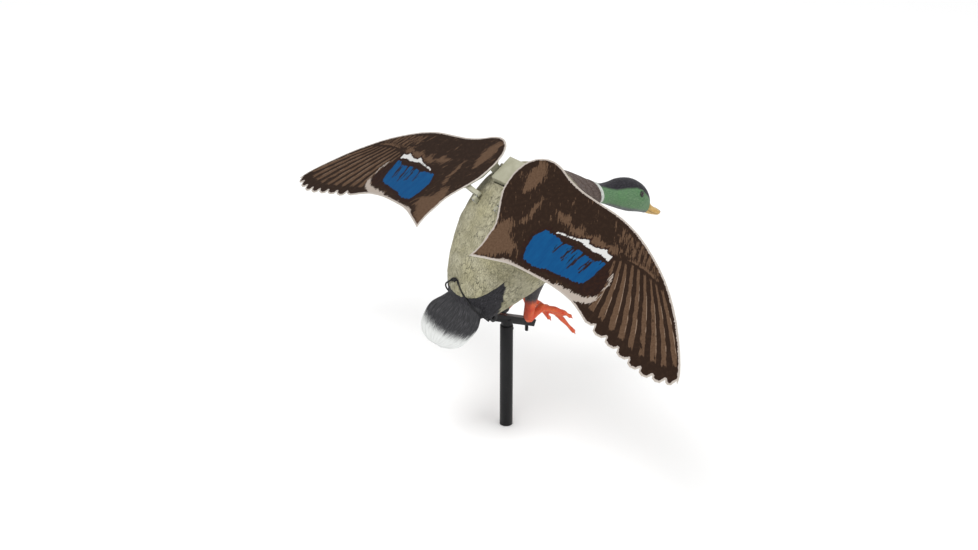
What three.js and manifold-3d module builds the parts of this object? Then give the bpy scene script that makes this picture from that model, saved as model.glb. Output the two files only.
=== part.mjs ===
// Flapping duck decoy on a stake pole.
// Millimetres. +Z up, +Y the way the bird faces, +X the bird's right.
// The origin is the centre of the pole's lower end.

import * as THREE from 'three';
import { mergeVertices } from 'three/addons/utils/BufferGeometryUtils.js';
import Module from 'manifold-3d';

const wasm = await Module();
wasm.setup();

// ---------------------------------------------------------------- driving dimensions

const GAP = 0.3; // between pieces that touch
const WALL = 2.4; // moulded shells

// Pole, bar and bolt
const POLE_RADIUS = 11;
const POLE_BORE = 9.5;
const POLE_TOP = 187;
const PEG_RADIUS = 9.2;
const PEG_BOTTOM = 150;
const BUTTON_HEIGHT = 177;
const BUTTON_RADIUS = 3;
const BUTTON_PROUD = 3.5;
const BAR_PITCH = THREE.MathUtils.degToRad(-22.8);
const BAR_PIVOT = new THREE.Vector3(0, -35.3, 214.4);
const BAR_DEPTH = 12;
const BAR_WIDTH = 16;
const BAR_BEHIND_PIVOT = 8;
const BAR_AHEAD_OF_PIVOT = 98;
const BOLT_Y = 43;
const BOLT_LOW_END = 163;

// Body: an axis through the body's middle, pitched nose up
const AXIS_POINT = new THREE.Vector3(0, -10, 324);
const AXIS_PITCH = THREE.MathUtils.degToRad(46);
const PARTING_PITCH = THREE.MathUtils.degToRad(47);
const PARTING_POINT = new THREE.Vector3(0, -96.5, 272);

// Flapper: its own frame, with y along the hinge rods and z away from the back
const FLAPPER_PITCH = THREE.MathUtils.degToRad(33.5);
const FLAPPER_ORIGIN = new THREE.Vector3(0, -41, 448.4);
const HINGE_X = 28;
const HINGE_Z = -25;
const ROD_RADIUS = 2;
const PIN_BACK = -25;
const PIN_FRONT = 54;
const KNUCKLE_RADIUS = 4.2;
const KNUCKLE_BACK = -15;
const KNUCKLE_FRONT = -8;
const HUB_RADIUS = 6.2;
const HUB_BACK = 29;
const HUB_FRONT = 48;
const LEVER_LENGTH = 14;
const LEVER_FRONT = 33;
const WING_DROOP = THREE.MathUtils.degToRad(10.3);
const WING_THICKNESS = 1.6;

// Housing that covers the flapper's top
const HOUSING = { side: 20.5, back: 21, front: 67, top: -13, bottom: -38, wall: 2 };

// Crank drive
const CRANK_Z = -72;
const CRANK_THROW = 5.92;
const CRANK_PIN_RADIUS = 2;
const YOKE_BACK = 35;
const YOKE_FRONT = 39;
const GEAR_BACK = 42;
const GEAR_FRONT = 48;
const GEAR_MODULE = 1.25;
const GEAR_TEETH = 32;
const PINION_TEETH = 12;
const PLATE_BACK = 50;
const PLATE_FRONT = 53;

// Legs
const LEG_X = 30;

// ---------------------------------------------------------------- materials

function finish(colour, roughness, metalness = 0) {
  return new THREE.MeshStandardMaterial({ color: colour, roughness, metalness });
}

const CREAM = finish(0xbdb79b, 0.7);
const BLACK_STEEL = finish(0x1d1c1e, 0.45, 0.6);
const BRIGHT_STEEL = finish(0xb4b6b8, 0.3, 0.9);
const BLACK_PLASTIC = finish(0x242326, 0.6);
const HOUSING_PLASTIC = finish(0xc3bfa9, 0.55);
const HUB_PLASTIC = finish(0x7f8068, 0.55);
const HEAD_GREEN = finish(0x5f8a66, 0.55);
const ORANGE = finish(0xe8592f, 0.5);
const EYE_BLACK = finish(0x0c0b0a, 0.1);
const WING_PRINT = finish(0x4a3426, 0.75);
const NATURAL_PLASTIC = finish(0xe6e2d6, 0.5);
const BATTERY_GREY = finish(0x4b4f57, 0.5);
const BOARD_GREEN = finish(0x2f6b45, 0.5);
const ELASTIC = finish(0x151414, 0.85);

// ---------------------------------------------------------------- geometry helpers

function solidOf(geometry) {
  const bare = geometry.clone();
  bare.deleteAttribute('normal');
  bare.deleteAttribute('uv');
  const merged = mergeVertices(bare, 1e-4);
  const vertProperties = new Float32Array(merged.attributes.position.array);
  const triVerts = new Uint32Array(merged.index.array);
  return new wasm.Manifold(new wasm.Mesh({ numProp: 3, vertProperties, triVerts }));
}

function geometryOf(solid) {
  const mesh = solid.getMesh();
  const geometry = new THREE.BufferGeometry();
  geometry.setAttribute('position', new THREE.BufferAttribute(mesh.vertProperties, 3));
  geometry.setIndex(new THREE.BufferAttribute(mesh.triVerts, 1));
  return geometry;
}

function join(...geometries) {
  return geometryOf(geometries.map(solidOf).reduce((sum, next) => sum.add(next)));
}

function cut(geometry, ...tools) {
  return geometryOf(tools.map(solidOf).reduce((rest, tool) => rest.subtract(tool), solidOf(geometry)));
}

function overlapOf(first, second) {
  return geometryOf(solidOf(first).intersect(solidOf(second)));
}

function box(x0, x1, y0, y1, z0, z1) {
  const geometry = new THREE.BoxGeometry(x1 - x0, y1 - y0, z1 - z0);
  return geometry.translate((x0 + x1) / 2, (y0 + y1) / 2, (z0 + z1) / 2);
}

function rodX(radius, x0, x1, y, z, sides = 20) {
  const geometry = new THREE.CylinderGeometry(radius, radius, x1 - x0, sides);
  return geometry.rotateZ(Math.PI / 2).translate((x0 + x1) / 2, y, z);
}

function rodY(radius, y0, y1, x, z, sides = 20) {
  const geometry = new THREE.CylinderGeometry(radius, radius, y1 - y0, sides);
  return geometry.translate(x, (y0 + y1) / 2, z);
}

function rodZ(radius, z0, z1, x, y, sides = 20) {
  const geometry = new THREE.CylinderGeometry(radius, radius, z1 - z0, sides);
  return geometry.rotateX(Math.PI / 2).translate(x, y, (z0 + z1) / 2);
}

// The mirror image in the bird's middle plane, with its faces still pointing out.
function mirrored(geometry) {
  const copy = (geometry.index ? geometry : mergeVertices(geometry)).clone();
  copy.deleteAttribute('normal');
  copy.applyMatrix4(new THREE.Matrix4().makeScale(-1, 1, 1));
  const index = copy.index.array;
  for (let i = 0; i < index.length; i += 3) {
    const held = index[i];
    index[i] = index[i + 1];
    index[i + 1] = held;
  }
  return copy;
}

// A round tube of constant radius along a list of points.
function cable(points, radius, sides, steps) {
  const section = new THREE.Shape();
  for (let i = 0; i < sides; i += 1) {
    const angle = (2 * Math.PI * i) / sides;
    const x = radius * Math.cos(angle);
    const y = radius * Math.sin(angle);
    if (i === 0) section.moveTo(x, y);
    else section.lineTo(x, y);
  }
  section.closePath();
  const path = new THREE.CatmullRomCurve3(points);
  return new THREE.ExtrudeGeometry(section, { steps, extrudePath: path, bevelEnabled: false });
}

// A moulded form from stations. Each station has the highest and lowest point of its section,
// [y, z] in the middle plane, and its half width. The sections are ellipses, and "grow" moves
// the surface outwards.
function loft(stations, { grow = 0, from = 0, to = 1, rings = 24, sides = 28, x = 0 } = {}) {
  const tops = new THREE.CatmullRomCurve3(stations.map((s) => new THREE.Vector3(s.half, ...s.top)));
  const lows = new THREE.CatmullRomCurve3(stations.map((s) => new THREE.Vector3(s.half, ...s.low)));
  const positions = [];
  const centres = [];
  for (let ring = 0; ring <= rings; ring += 1) {
    const t = from + ((to - from) * ring) / rings;
    const clamped = Math.min(Math.max(t, 0), 1);
    const top = tops.getPoint(clamped);
    const low = lows.getPoint(clamped);
    const ahead = tops.getTangent(clamped).add(lows.getTangent(clamped)).setX(0).normalize();
    const past = (t - clamped) * 300;
    const centre = new THREE.Vector3(x, (top.y + low.y) / 2, (top.z + low.z) / 2);
    centre.addScaledVector(ahead, past);
    const up = new THREE.Vector3(0, (top.y - low.y) / 2, (top.z - low.z) / 2);
    up.setLength(up.length() + grow);
    const half = top.x + grow;
    for (let side = 0; side < sides; side += 1) {
      const angle = (2 * Math.PI * side) / sides;
      const point = centre.clone().addScaledVector(up, Math.sin(angle));
      positions.push(point.x + half * Math.cos(angle), point.y, point.z);
    }
    centres.push(centre);
  }
  const faces = [];
  for (let ring = 0; ring < rings; ring += 1) {
    for (let side = 0; side < sides; side += 1) {
      const a = ring * sides + side;
      const b = ring * sides + ((side + 1) % sides);
      faces.push(a, a + sides, b, b, a + sides, b + sides);
    }
  }
  [0, rings].forEach((ring) => {
    const hub = positions.length / 3;
    positions.push(...centres[ring].toArray());
    for (let side = 0; side < sides; side += 1) {
      const a = ring * sides + side;
      const b = ring * sides + ((side + 1) % sides);
      if (ring === 0) faces.push(hub, a, b);
      else faces.push(hub, b, a);
    }
  });
  const geometry = new THREE.BufferGeometry();
  geometry.setAttribute('position', new THREE.Float32BufferAttribute(positions, 3));
  geometry.setIndex(faces);
  return geometry;
}

// A point "along" the body's axis and "off" it towards the back.
function onAxis(along, off) {
  const c = Math.cos(AXIS_PITCH);
  const s = Math.sin(AXIS_PITCH);
  return [AXIS_POINT.y + along * c - off * s, AXIS_POINT.z + along * s + off * c];
}

function axisStation(along, top, low, half) {
  return { top: onAxis(along, top), low: onAxis(along, low), half };
}

const flapperMatrix = new THREE.Matrix4()
  .makeRotationX(FLAPPER_PITCH)
  .setPosition(FLAPPER_ORIGIN);

const barMatrix = new THREE.Matrix4()
  .makeRotationX(BAR_PITCH)
  .setPosition(BAR_PIVOT);

// From a wing's own span, chord and thickness directions to the flapper's frame.
const droopMatrix = new THREE.Matrix4().makeRotationY(WING_DROOP);

function placed(geometry, matrix) {
  return geometry.clone().applyMatrix4(matrix);
}

// ---------------------------------------------------------------- the object

const decoy = new THREE.Group();

function add(name, geometry, material) {
  const mesh = new THREE.Mesh(geometry, material);
  mesh.name = name;
  decoy.add(mesh);
}

function addPair(name, geometry, material) {
  add(`${name}_right`, geometry, material);
  add(`${name}_left`, mirrored(geometry), material);
}

// Pole: an open tube with a hole for the snap button.
const buttonHole = rodY(BUTTON_RADIUS + 0.4, 0, 2 * POLE_RADIUS, 0, BUTTON_HEIGHT, 16);
add(
  'pole_tube',
  cut(rodZ(POLE_RADIUS, 0, POLE_TOP, 0, 0, 40), rodZ(POLE_BORE, -1, POLE_TOP + 1, 0, 0, 40), buttonHole),
  BLACK_STEEL,
);

// Mount bar: a flat bar with a pivot eye behind, a bolt hole ahead and a welded peg below.
const barBody = placed(
  join(
    box(
      -BAR_WIDTH / 2, BAR_WIDTH / 2, 0, BAR_AHEAD_OF_PIVOT, -BAR_DEPTH / 2, BAR_DEPTH / 2,
    ),
    rodX(BAR_DEPTH / 2, -BAR_WIDTH / 2, BAR_WIDTH / 2, 0, 0),
    box(-BAR_WIDTH / 2, BAR_WIDTH / 2, -BAR_BEHIND_PIVOT, 1, -BAR_DEPTH / 2, BAR_DEPTH / 2),
  ),
  barMatrix,
);
const PIN_RADIUS = 3;
const pinHole = rodX(PIN_RADIUS + GAP, -30, 30, BAR_PIVOT.y, BAR_PIVOT.z);
const BOLT_RADIUS = 3;
const boltHole = rodZ(BOLT_RADIUS + GAP, 150, 220, 0, BOLT_Y);
const BOLT_HEAD_LOW = 186.5;
const spotFace = rodZ(6.5, BOLT_HEAD_LOW - GAP, 220, 0, BOLT_Y);
const peg = cut(
  rodZ(PEG_RADIUS, PEG_BOTTOM, POLE_TOP + 12, 0, 0, 32),
  rodY(BUTTON_RADIUS + GAP, -4, 2 * POLE_RADIUS, 0, BUTTON_HEIGHT, 16),
);
add('mount_bar', cut(join(barBody, peg), pinHole, boltHole, spotFace), BLACK_STEEL);

// Snap button: a sprung pin that stands out through the pole's wall.
add('snap_button', rodY(BUTTON_RADIUS, 2, POLE_RADIUS + BUTTON_PROUD, 0, BUTTON_HEIGHT, 16), BRIGHT_STEEL);

// Bar bolt: hangs through the bar's front end.
add(
  'bar_bolt',
  join(
    rodZ(BOLT_RADIUS, BOLT_LOW_END, BOLT_HEAD_LOW + 1, 0, BOLT_Y),
    rodZ(5.8, BOLT_HEAD_LOW, BOLT_HEAD_LOW + 4, 0, BOLT_Y, 6),
  ),
  BLACK_STEEL,
);

// ---- body shells

const bodyStations = [
  axisStation(-112, 16, -32, 34),
  axisStation(-104, 23, -40, 47),
  axisStation(-85, 39, -50, 61),
  axisStation(-55, 56, -65, 77),
  axisStation(-20, 70, -80, 90),
  axisStation(20, 82, -88, 98),
  axisStation(60, 85, -90, 100),
  { top: [9, 454], low: [113, 314], half: 95 },
  { top: [54, 458], low: [132, 331], half: 79 },
  { top: [96, 444], low: [149, 343], half: 58 },
  { top: [132, 427], low: [165, 351], half: 37 },
  { top: [161, 410], low: [178, 355.5], half: 26 },
  { top: [187, 395], low: [191, 358], half: 19.5 },
];
const tailStations = [
  axisStation(-186, 14, 11, 17),
  axisStation(-179, 15, 10, 40),
  axisStation(-167, 15.5, 9, 55),
  axisStation(-150, 16, 8, 62),
  axisStation(-130, 17, 5, 62.5),
  axisStation(-110, 18, -2, 50),
  axisStation(-92, 20, -10, 40),
];
const bodyForm = loft(bodyStations, { rings: 20, sides: 24 });
const bodyHollow = loft(bodyStations, { grow: -WALL, from: 0.035, to: 1.02, rings: 16, sides: 24 });
const bodyClear = loft(bodyStations, { grow: GAP, from: -0.001, rings: 20, sides: 24 });
const tailForm = loft(tailStations, { rings: 10, sides: 18 });

// A block above the parting plane, "lift" higher than it.
function abovePartingPlane(lift) {
  const block = box(-200, 200, -400, 400, lift, 400);
  block.applyMatrix4(new THREE.Matrix4().makeRotationX(PARTING_PITCH));
  return block.translate(PARTING_POINT.x, PARTING_POINT.y, PARTING_POINT.z);
}

// Elastic cord: over the cover's back, round both flanks and under the rump.
const CORD_RADIUS = 1.3;
const KNOT_RADIUS = 3;
function cordPoint(x, along, off) {
  return new THREE.Vector3(x, ...onAxis(along, off));
}
const cordRoute = [
  cordPoint(-11.5, -82, 41),
  cordPoint(-28, -88, 35),
  cordPoint(-42, -94, 25),
  cordPoint(-48.5, -98, 12),
  cordPoint(-48, -101, -8),
  cordPoint(-38, -103, -25),
  cordPoint(-20, -104, -37),
  cordPoint(0, -105, -41),
  cordPoint(20, -106, -37),
  cordPoint(40, -108, -22),
  cordPoint(51, -109, -5),
  cordPoint(53, -109, 9),
  cordPoint(44, -107, 17),
  cordPoint(26, -103, 22),
  cordPoint(10, -96, 29),
  cordPoint(0, -88, 36),
  cordPoint(-5.5, -83, 41),
];
const cordGeometry = cable(cordRoute, CORD_RADIUS, 8, 40);
const cordGroove = cable(cordRoute, CORD_RADIUS + GAP, 8, 40);
const knotCentre = cordPoint(-8.5, -81, 42.5);
const knot = cut(
  new THREE.SphereGeometry(KNOT_RADIUS, 12, 8).translate(...knotCentre.toArray()),
  bodyClear,
  cordGroove,
);

// The housing's seat in the cover, and the wells that the hubs turn in.
const housingSeat = placed(
  box(-HOUSING.side - 1, HOUSING.side + 1, HOUSING.back - 2.2, HOUSING.front + 1, -70, 10),
  flapperMatrix,
);
const hubWell = placed(
  box(-HINGE_X - 9, HINGE_X + 9, HUB_BACK - 1.5, PIN_FRONT + 1.5, -36, 10),
  flapperMatrix,
);

const shell = cut(bodyForm, bodyHollow);
add(
  'back_cover',
  cut(overlapOf(shell, abovePartingPlane(GAP)), housingSeat, hubWell, cordGroove),
  CREAM,
);
const studDirection = new THREE.Vector3(0, 0.353, -0.935);
const studBase = new THREE.Vector3(0, -12, 236);
function alongStud(radius, from, to, sides) {
  const rod = rodY(radius, from, to, 0, 0, sides);
  const turn = new THREE.Quaternion().setFromUnitVectors(new THREE.Vector3(0, 1, 0), studDirection);
  rod.applyQuaternion(turn);
  return rod.translate(studBase.x, studBase.y, studBase.z);
}
const STUD_RADIUS = 3;
add(
  'lower_body',
  cut(
    join(cut(tailForm, bodyHollow), shell),
    abovePartingPlane(0),
    cordGroove,
    alongStud(STUD_RADIUS + GAP, -20, 20, 16),
  ),
  CREAM,
);
add('elastic_cord', cordGeometry, ELASTIC);
add('cord_knot', knot, ELASTIC);

// ---- head, with an open neck, and its glass eyes

const headStations = [
  { top: [187.7, 394.7], low: [191.7, 357.7], half: 19.4 },
  { top: [203, 388], low: [203, 353], half: 19 },
  { top: [222, 386.5], low: [220, 344], half: 21 },
  { top: [243, 387.5], low: [238, 334.5], half: 24.5 },
  { top: [262, 384], low: [256, 326.5], half: 26.5 },
  { top: [279, 376], low: [272, 321], half: 26 },
  { top: [293, 364.5], low: [285, 316.5], half: 21.5 },
  { top: [302, 352], low: [296, 312], half: 16 },
  { top: [306, 338], low: [302, 309.5], half: 12.5 },
  { top: [310, 327], low: [309, 306.5], half: 11.5 },
  { top: [318, 319], low: [317, 303.5], half: 11.8 },
  { top: [327, 312.5], low: [325, 301], half: 11.6 },
  { top: [333, 308], low: [332, 301.5], half: 8 },
  { top: [335.5, 305.5], low: [335.2, 303], half: 3 },
];
const headForm = loft(headStations, { rings: 20, sides: 20 });
const headHollow = loft(headStations, { grow: -WALL, from: -0.02, to: 0.5, rings: 8, sides: 20 });
const EYE_CENTRE = [22.5, 271, 359.5];
const EYE_RADIUS = 5;
const eyeBall = new THREE.SphereGeometry(EYE_RADIUS, 12, 8).translate(...EYE_CENTRE);
const eyeSocket = new THREE.SphereGeometry(EYE_RADIUS + GAP, 12, 8).translate(...EYE_CENTRE);
add('head', cut(headForm, headHollow, eyeSocket, mirrored(eyeSocket)), HEAD_GREEN);
addPair('eye', eyeBall, EYE_BLACK);

// ---- legs

function limb(points, radii, sides, steps) {
  const path = new THREE.CatmullRomCurve3(points.map((p) => new THREE.Vector3(...p)));
  const girth = new THREE.CatmullRomCurve3(radii.map((r, i) => new THREE.Vector3(r, i, 0)));
  const frames = path.computeFrenetFrames(steps);
  const positions = [];
  for (let i = 0; i <= steps; i += 1) {
    const centre = path.getPoint(i / steps);
    const radius = girth.getPoint(i / steps).x;
    const sideways = new THREE.Vector3(1, 0, 0);
    const tangent = path.getTangent(i / steps);
    sideways.addScaledVector(tangent, -sideways.dot(tangent)).normalize();
    const other = new THREE.Vector3().crossVectors(tangent, sideways);
    for (let j = 0; j < sides; j += 1) {
      const angle = (2 * Math.PI * j) / sides;
      const point = centre.clone().addScaledVector(sideways, radius * Math.cos(angle));
      point.addScaledVector(other, radius * Math.sin(angle));
      positions.push(...point.toArray());
    }
  }
  const faces = [];
  for (let i = 0; i < steps; i += 1) {
    for (let j = 0; j < sides; j += 1) {
      const a = i * sides + j;
      const b = i * sides + ((j + 1) % sides);
      faces.push(a, b, a + sides, b, b + sides, a + sides);
    }
  }
  for (let j = 1; j < sides - 1; j += 1) {
    faces.push(0, j + 1, j);
    faces.push(steps * sides, steps * sides + j, steps * sides + j + 1);
  }
  const geometry = new THREE.BufferGeometry();
  geometry.setAttribute('position', new THREE.Float32BufferAttribute(positions, 3));
  geometry.setIndex(faces);
  return geometry;
}
const shank = limb(
  [[LEG_X, 36, 272], [LEG_X, 30, 250], [LEG_X, 25, 225], [LEG_X, 22, 208], [LEG_X, 24, 199]],
  [17, 12, 9, 8.5, 5],
  12,
  8,
);
const tarsus = limb(
  [[LEG_X, 22, 202], [LEG_X, 37, 210], [LEG_X, 54, 218]],
  [7, 7, 8],
  10,
  5,
);
const toes = [
  [[30, 50, 217], [31, 80, 196], [32, 120, 150]],
  [[31, 50, 217], [44, 78, 206], [46, 100, 190]],
  [[29, 50, 217], [16, 78, 200], [15, 98, 180]],
].map((points) => limb(points, [6, 4, 2.5], 8, 4));
add('leg_right', cut(join(shank, tarsus, ...toes), bodyClear), ORANGE);
add('leg_left', mirrored(cut(join(shank, tarsus, ...toes), bodyClear)), ORANGE);

// ---- tilt hinge and its adjusting knob, under the rump

const EAR_INNER = BAR_WIDTH / 2 + 0.5;
const EAR_OUTER = EAR_INNER + 3;
function ear(x0, x1) {
  const plate = join(
    rodX(7, x0, x1, BAR_PIVOT.y, BAR_PIVOT.z),
    box(x0, x1, BAR_PIVOT.y - 7, BAR_PIVOT.y + 7, BAR_PIVOT.z, BAR_PIVOT.z + 30),
  );
  return plate;
}
const clevis = cut(
  join(
    ear(EAR_INNER, EAR_OUTER),
    ear(-EAR_OUTER, -EAR_INNER),
    box(-EAR_OUTER, EAR_OUTER, BAR_PIVOT.y - 7, BAR_PIVOT.y + 7, BAR_PIVOT.z + 12, BAR_PIVOT.z + 30),
  ),
  bodyClear,
  pinHole,
);
add('tilt_clevis', clevis, BLACK_PLASTIC);
add('tilt_pin', rodX(PIN_RADIUS, -EAR_OUTER - 1.5, EAR_OUTER + 1.5, BAR_PIVOT.y, BAR_PIVOT.z), BRIGHT_STEEL);
add('tilt_stud', alongStud(STUD_RADIUS, -6, 27, 16), BRIGHT_STEEL);
const KNOB_RADIUS = 8.2;
const KNOB_CAP = 13.5;
const KNOB_END = 22.6;
const knobRibs = [];
const KNOB_RIBS = 12;
for (let i = 0; i < KNOB_RIBS; i += 1) {
  const angle = (2 * Math.PI * i) / KNOB_RIBS;
  const x = KNOB_RADIUS * Math.cos(angle);
  const z = KNOB_RADIUS * Math.sin(angle);
  knobRibs.push(rodY(0.8, KNOB_CAP + 2, KNOB_END, x, z, 6));
}
const knobTurn = new THREE.Quaternion().setFromUnitVectors(new THREE.Vector3(0, 1, 0), studDirection);
const knobForm = cut(
  join(
    rodY(KNOB_RADIUS, KNOB_CAP + 1, KNOB_END, 0, 0, 24),
    rodY(KNOB_RADIUS + 1, KNOB_CAP, KNOB_CAP + 2, 0, 0, 24),
    ...knobRibs,
  ),
  rodY(STUD_RADIUS + GAP, 10, 30, 0, 0, 16),
);
knobForm.applyQuaternion(knobTurn);
knobForm.translate(studBase.x, studBase.y, studBase.z);
add('tilt_knob', knobForm, BLACK_PLASTIC);

// ---- flapper

function flapper(geometry) {
  return placed(geometry, flapperMatrix);
}

// Housing: a box open below, with windows for the levers and ears for the hinge rods.
const h = HOUSING;
const PORT_X = 5;
const PORT_RADIUS = 2.6;
const ROCKER = { x0: 13.6, x1: 18, z0: -31, z1: -20 };
function rodEar(side) {
  const x0 = side > 0 ? h.side - 1 : -HINGE_X - 5;
  return box(x0, x0 + HINGE_X + 5 - h.side + 1, HUB_FRONT + 1, PIN_FRONT - 0.5, HINGE_Z - 5, HINGE_Z + 5);
}
const housing = cut(
  join(box(-h.side, h.side, h.back, h.front, h.bottom, h.top), rodEar(1), rodEar(-1)),
  box(-h.side + h.wall, h.side - h.wall, h.back + h.wall, h.front - h.wall, h.bottom - 1, h.top - h.wall),
  box(-30, 30, HUB_BACK - 0.8, LEVER_FRONT + 0.8, h.bottom - 1, h.top - 4),
  rodY(ROD_RADIUS + GAP, 40, 70, HINGE_X, HINGE_Z),
  rodY(ROD_RADIUS + GAP, 40, 70, -HINGE_X, HINGE_Z),
  rodY(PORT_RADIUS + GAP, h.back - 5, h.back + 5, PORT_X, -25, 16),
  box(ROCKER.x0 - GAP, ROCKER.x1 + GAP, h.back - 5, h.back + 5, ROCKER.z0 - GAP, ROCKER.z1 + GAP),
);
add('flapper_housing', flapper(housing), HOUSING_PLASTIC);
add(
  'charge_port',
  flapper(cut(
    rodY(PORT_RADIUS, h.back - 0.8, h.back + 8, PORT_X, -25, 16),
    rodY(1.4, h.back - 2, h.back + 5, PORT_X, -25, 12),
  )),
  BLACK_PLASTIC,
);
const rockerX = (ROCKER.x0 + ROCKER.x1) / 2;
const rockerZ = (ROCKER.z0 + ROCKER.z1) / 2;
const ROCKER_PIVOT_Y = h.back + 3;
add(
  'switch_rocker',
  flapper(join(
    box(ROCKER.x0 + 0.4, ROCKER.x1 - 0.4, h.back - 1.2, h.back + 2, ROCKER.z0 + 0.9, ROCKER.z1 - 0.9),
    rodX(2, ROCKER.x0 + 0.4, ROCKER.x1 - 0.4, ROCKER_PIVOT_Y, rockerZ, 12),
  )),
  BLACK_PLASTIC,
);

// Hinge pins, on one line for each wing: in front in the housing's ears, behind in the lugs.
addPair('front_pin', flapper(rodY(ROD_RADIUS, HUB_BACK - 1, PIN_FRONT, HINGE_X, HINGE_Z)), BRIGHT_STEEL);
addPair('rear_pin', flapper(rodY(ROD_RADIUS, PIN_BACK, KNUCKLE_FRONT + 1, HINGE_X, HINGE_Z)), BRIGHT_STEEL);

const LUG_BACK = -24;
const LUG_FRONT = -17;
const lug = cut(
  placed(
    join(
      rodY(KNUCKLE_RADIUS, LUG_BACK, LUG_FRONT, HINGE_X, HINGE_Z),
      box(HINGE_X - KNUCKLE_RADIUS, HINGE_X + KNUCKLE_RADIUS, LUG_BACK, LUG_FRONT, -70, HINGE_Z),
    ),
    flapperMatrix,
  ),
  placed(rodY(ROD_RADIUS + GAP, -40, 60, HINGE_X, HINGE_Z), flapperMatrix),
  bodyClear,
);
addPair('rear_lug', lug, HOUSING_PLASTIC);

// Wing levers: a hub on the rod, an arm into the housing and a pin for the yoke.
const PIN_X = HINGE_X - LEVER_LENGTH;
const LEVER_PIN_RADIUS = 1.5;
const lever = cut(
  join(
    rodY(HUB_RADIUS, HUB_BACK, HUB_FRONT, HINGE_X, HINGE_Z, 28),
    box(PIN_X, HINGE_X, HUB_BACK, LEVER_FRONT, HINGE_Z - 2.5, HINGE_Z + 2.5),
    rodY(2.5, HUB_BACK, LEVER_FRONT, PIN_X, HINGE_Z),
    rodY(LEVER_PIN_RADIUS, LEVER_FRONT - 1, YOKE_FRONT + 0.5, PIN_X, HINGE_Z, 16),
  ),
  rodY(ROD_RADIUS + GAP, 0, 60, HINGE_X, HINGE_Z),
);
addPair('wing_lever', flapper(lever), HUB_PLASTIC);

// Wings, in their own span, chord and thickness directions.
function wing(geometry) {
  return flapper(placed(geometry, droopMatrix));
}

// A flat outline in span and chord, "low" to "high" in thickness.
function slab(shape, low, high) {
  const geometry = new THREE.ExtrudeGeometry(shape, { depth: high - low, bevelEnabled: false, curveSegments: 2 });
  return geometry.translate(0, 0, low);
}

const SKIN = WING_THICKNESS / 2;
const FEATHER_TIPS = [
  [499, -110], [487, -119], [468, -125], [445, -128.5], [421, -127], [396, -122.5], [370, -118],
  [341, -114], [313, -106],
];
const NOTCH_DEPTH = 8;
function wingOutline() {
  const outline = new THREE.Shape();
  outline.moveTo(24, 40);
  outline.splineThru([
    [27, 62], [40, 80], [62, 90], [88, 88], [112, 79], [150, 71], [200, 68], [240, 65],
    [285, 54], [335, 33], [380, 8], [425, -26], [465, -64], [491, -94], FEATHER_TIPS[0],
  ].map((p) => new THREE.Vector2(...p)));
  for (let i = 1; i < FEATHER_TIPS.length; i += 1) {
    const [tipSpan, tipChord] = FEATHER_TIPS[i];
    const [lastSpan, lastChord] = FEATHER_TIPS[i - 1];
    const notchSpan = (tipSpan + lastSpan) / 2 + 2;
    const notchChord = (tipChord + lastChord) / 2 + NOTCH_DEPTH;
    outline.quadraticCurveTo(notchSpan + 1, lastChord + 1, notchSpan, notchChord);
    outline.quadraticCurveTo(notchSpan - 2, tipChord - 1, tipSpan, tipChord);
  }
  outline.splineThru([
    [285, -95], [262, -89], [225, -86], [180, -88], [140, -92], [104, -103], [70, -115],
  ].map((p) => new THREE.Vector2(...p)));
  outline.splineThru([
    [73, -92], [69, -68], [66, -50], [54, -30], [40, -10], [29, 10], [24, 40],
  ].map((p) => new THREE.Vector2(...p)));
  return outline;
}
addPair('wing_panel', wing(slab(wingOutline(), -SKIN, SKIN)), WING_PRINT);

// Wing clip: a plate under the panel, a post down to the hub and a knuckle at the back.
const CLIP_TOP = -SKIN - GAP;
const CLIP_LOW = CLIP_TOP - 2.5;
const clipOutline = new THREE.Shape([
  [27, 47], [34, 52], [74, 44], [80, 8], [74, -18], [50, -18], [42, -6], [30, 12],
].map((p) => new THREE.Vector2(...p)));
const hubClear = rodY(HUB_RADIUS + GAP, 0, 60, HINGE_X, HINGE_Z, 28);
const clipPost = new THREE.ExtrudeGeometry(
  new THREE.Shape([[-3, 0], [4, 0], [9, 22], [2, 22]].map((p) => new THREE.Vector2(...p))),
  { depth: HUB_FRONT - HUB_BACK - 4, bevelEnabled: false },
).rotateX(Math.PI / 2).translate(HINGE_X, HUB_FRONT - 2, HINGE_Z);
const knuckle = join(
  rodY(KNUCKLE_RADIUS, KNUCKLE_BACK, KNUCKLE_FRONT, HINGE_X, HINGE_Z),
  new THREE.ExtrudeGeometry(
    new THREE.Shape([[-3, 4], [3, -4], [30, 12], [30, 16.5], [22, 17]].map((p) => new THREE.Vector2(...p))),
    { depth: KNUCKLE_FRONT - KNUCKLE_BACK, bevelEnabled: false },
  ).rotateX(Math.PI / 2).translate(HINGE_X, KNUCKLE_FRONT, HINGE_Z),
);
const clipPlate = placed(slab(clipOutline, CLIP_LOW, CLIP_TOP), droopMatrix);
const underPanel = placed(box(-100, 200, -200, 200, CLIP_TOP, 100), droopMatrix);
const clip = cut(
  join(clipPlate, cut(join(clipPost, knuckle), underPanel)),
  hubClear,
  rodY(ROD_RADIUS + GAP, -40, 60, HINGE_X, HINGE_Z),
);
addPair('wing_clip', flapper(clip), HUB_PLASTIC);

// Spars: two rods under each panel, in sockets ahead of the clip.
const SPAR_RADIUS = 2;
const SPAR_T = CLIP_TOP - SPAR_RADIUS;
function spar(points) {
  return cable(points.map(([span, chord]) => new THREE.Vector3(span, chord, SPAR_T)), SPAR_RADIUS, 8, 8);
}
addPair('front_spar', wing(spar([[84, 38], [180, 40], [280, 30], [400, -22]])), BLACK_STEEL);
addPair('rear_spar', wing(spar([[84, 2], [150, -30], [230, -58], [300, -78]])), BLACK_STEEL);

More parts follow.
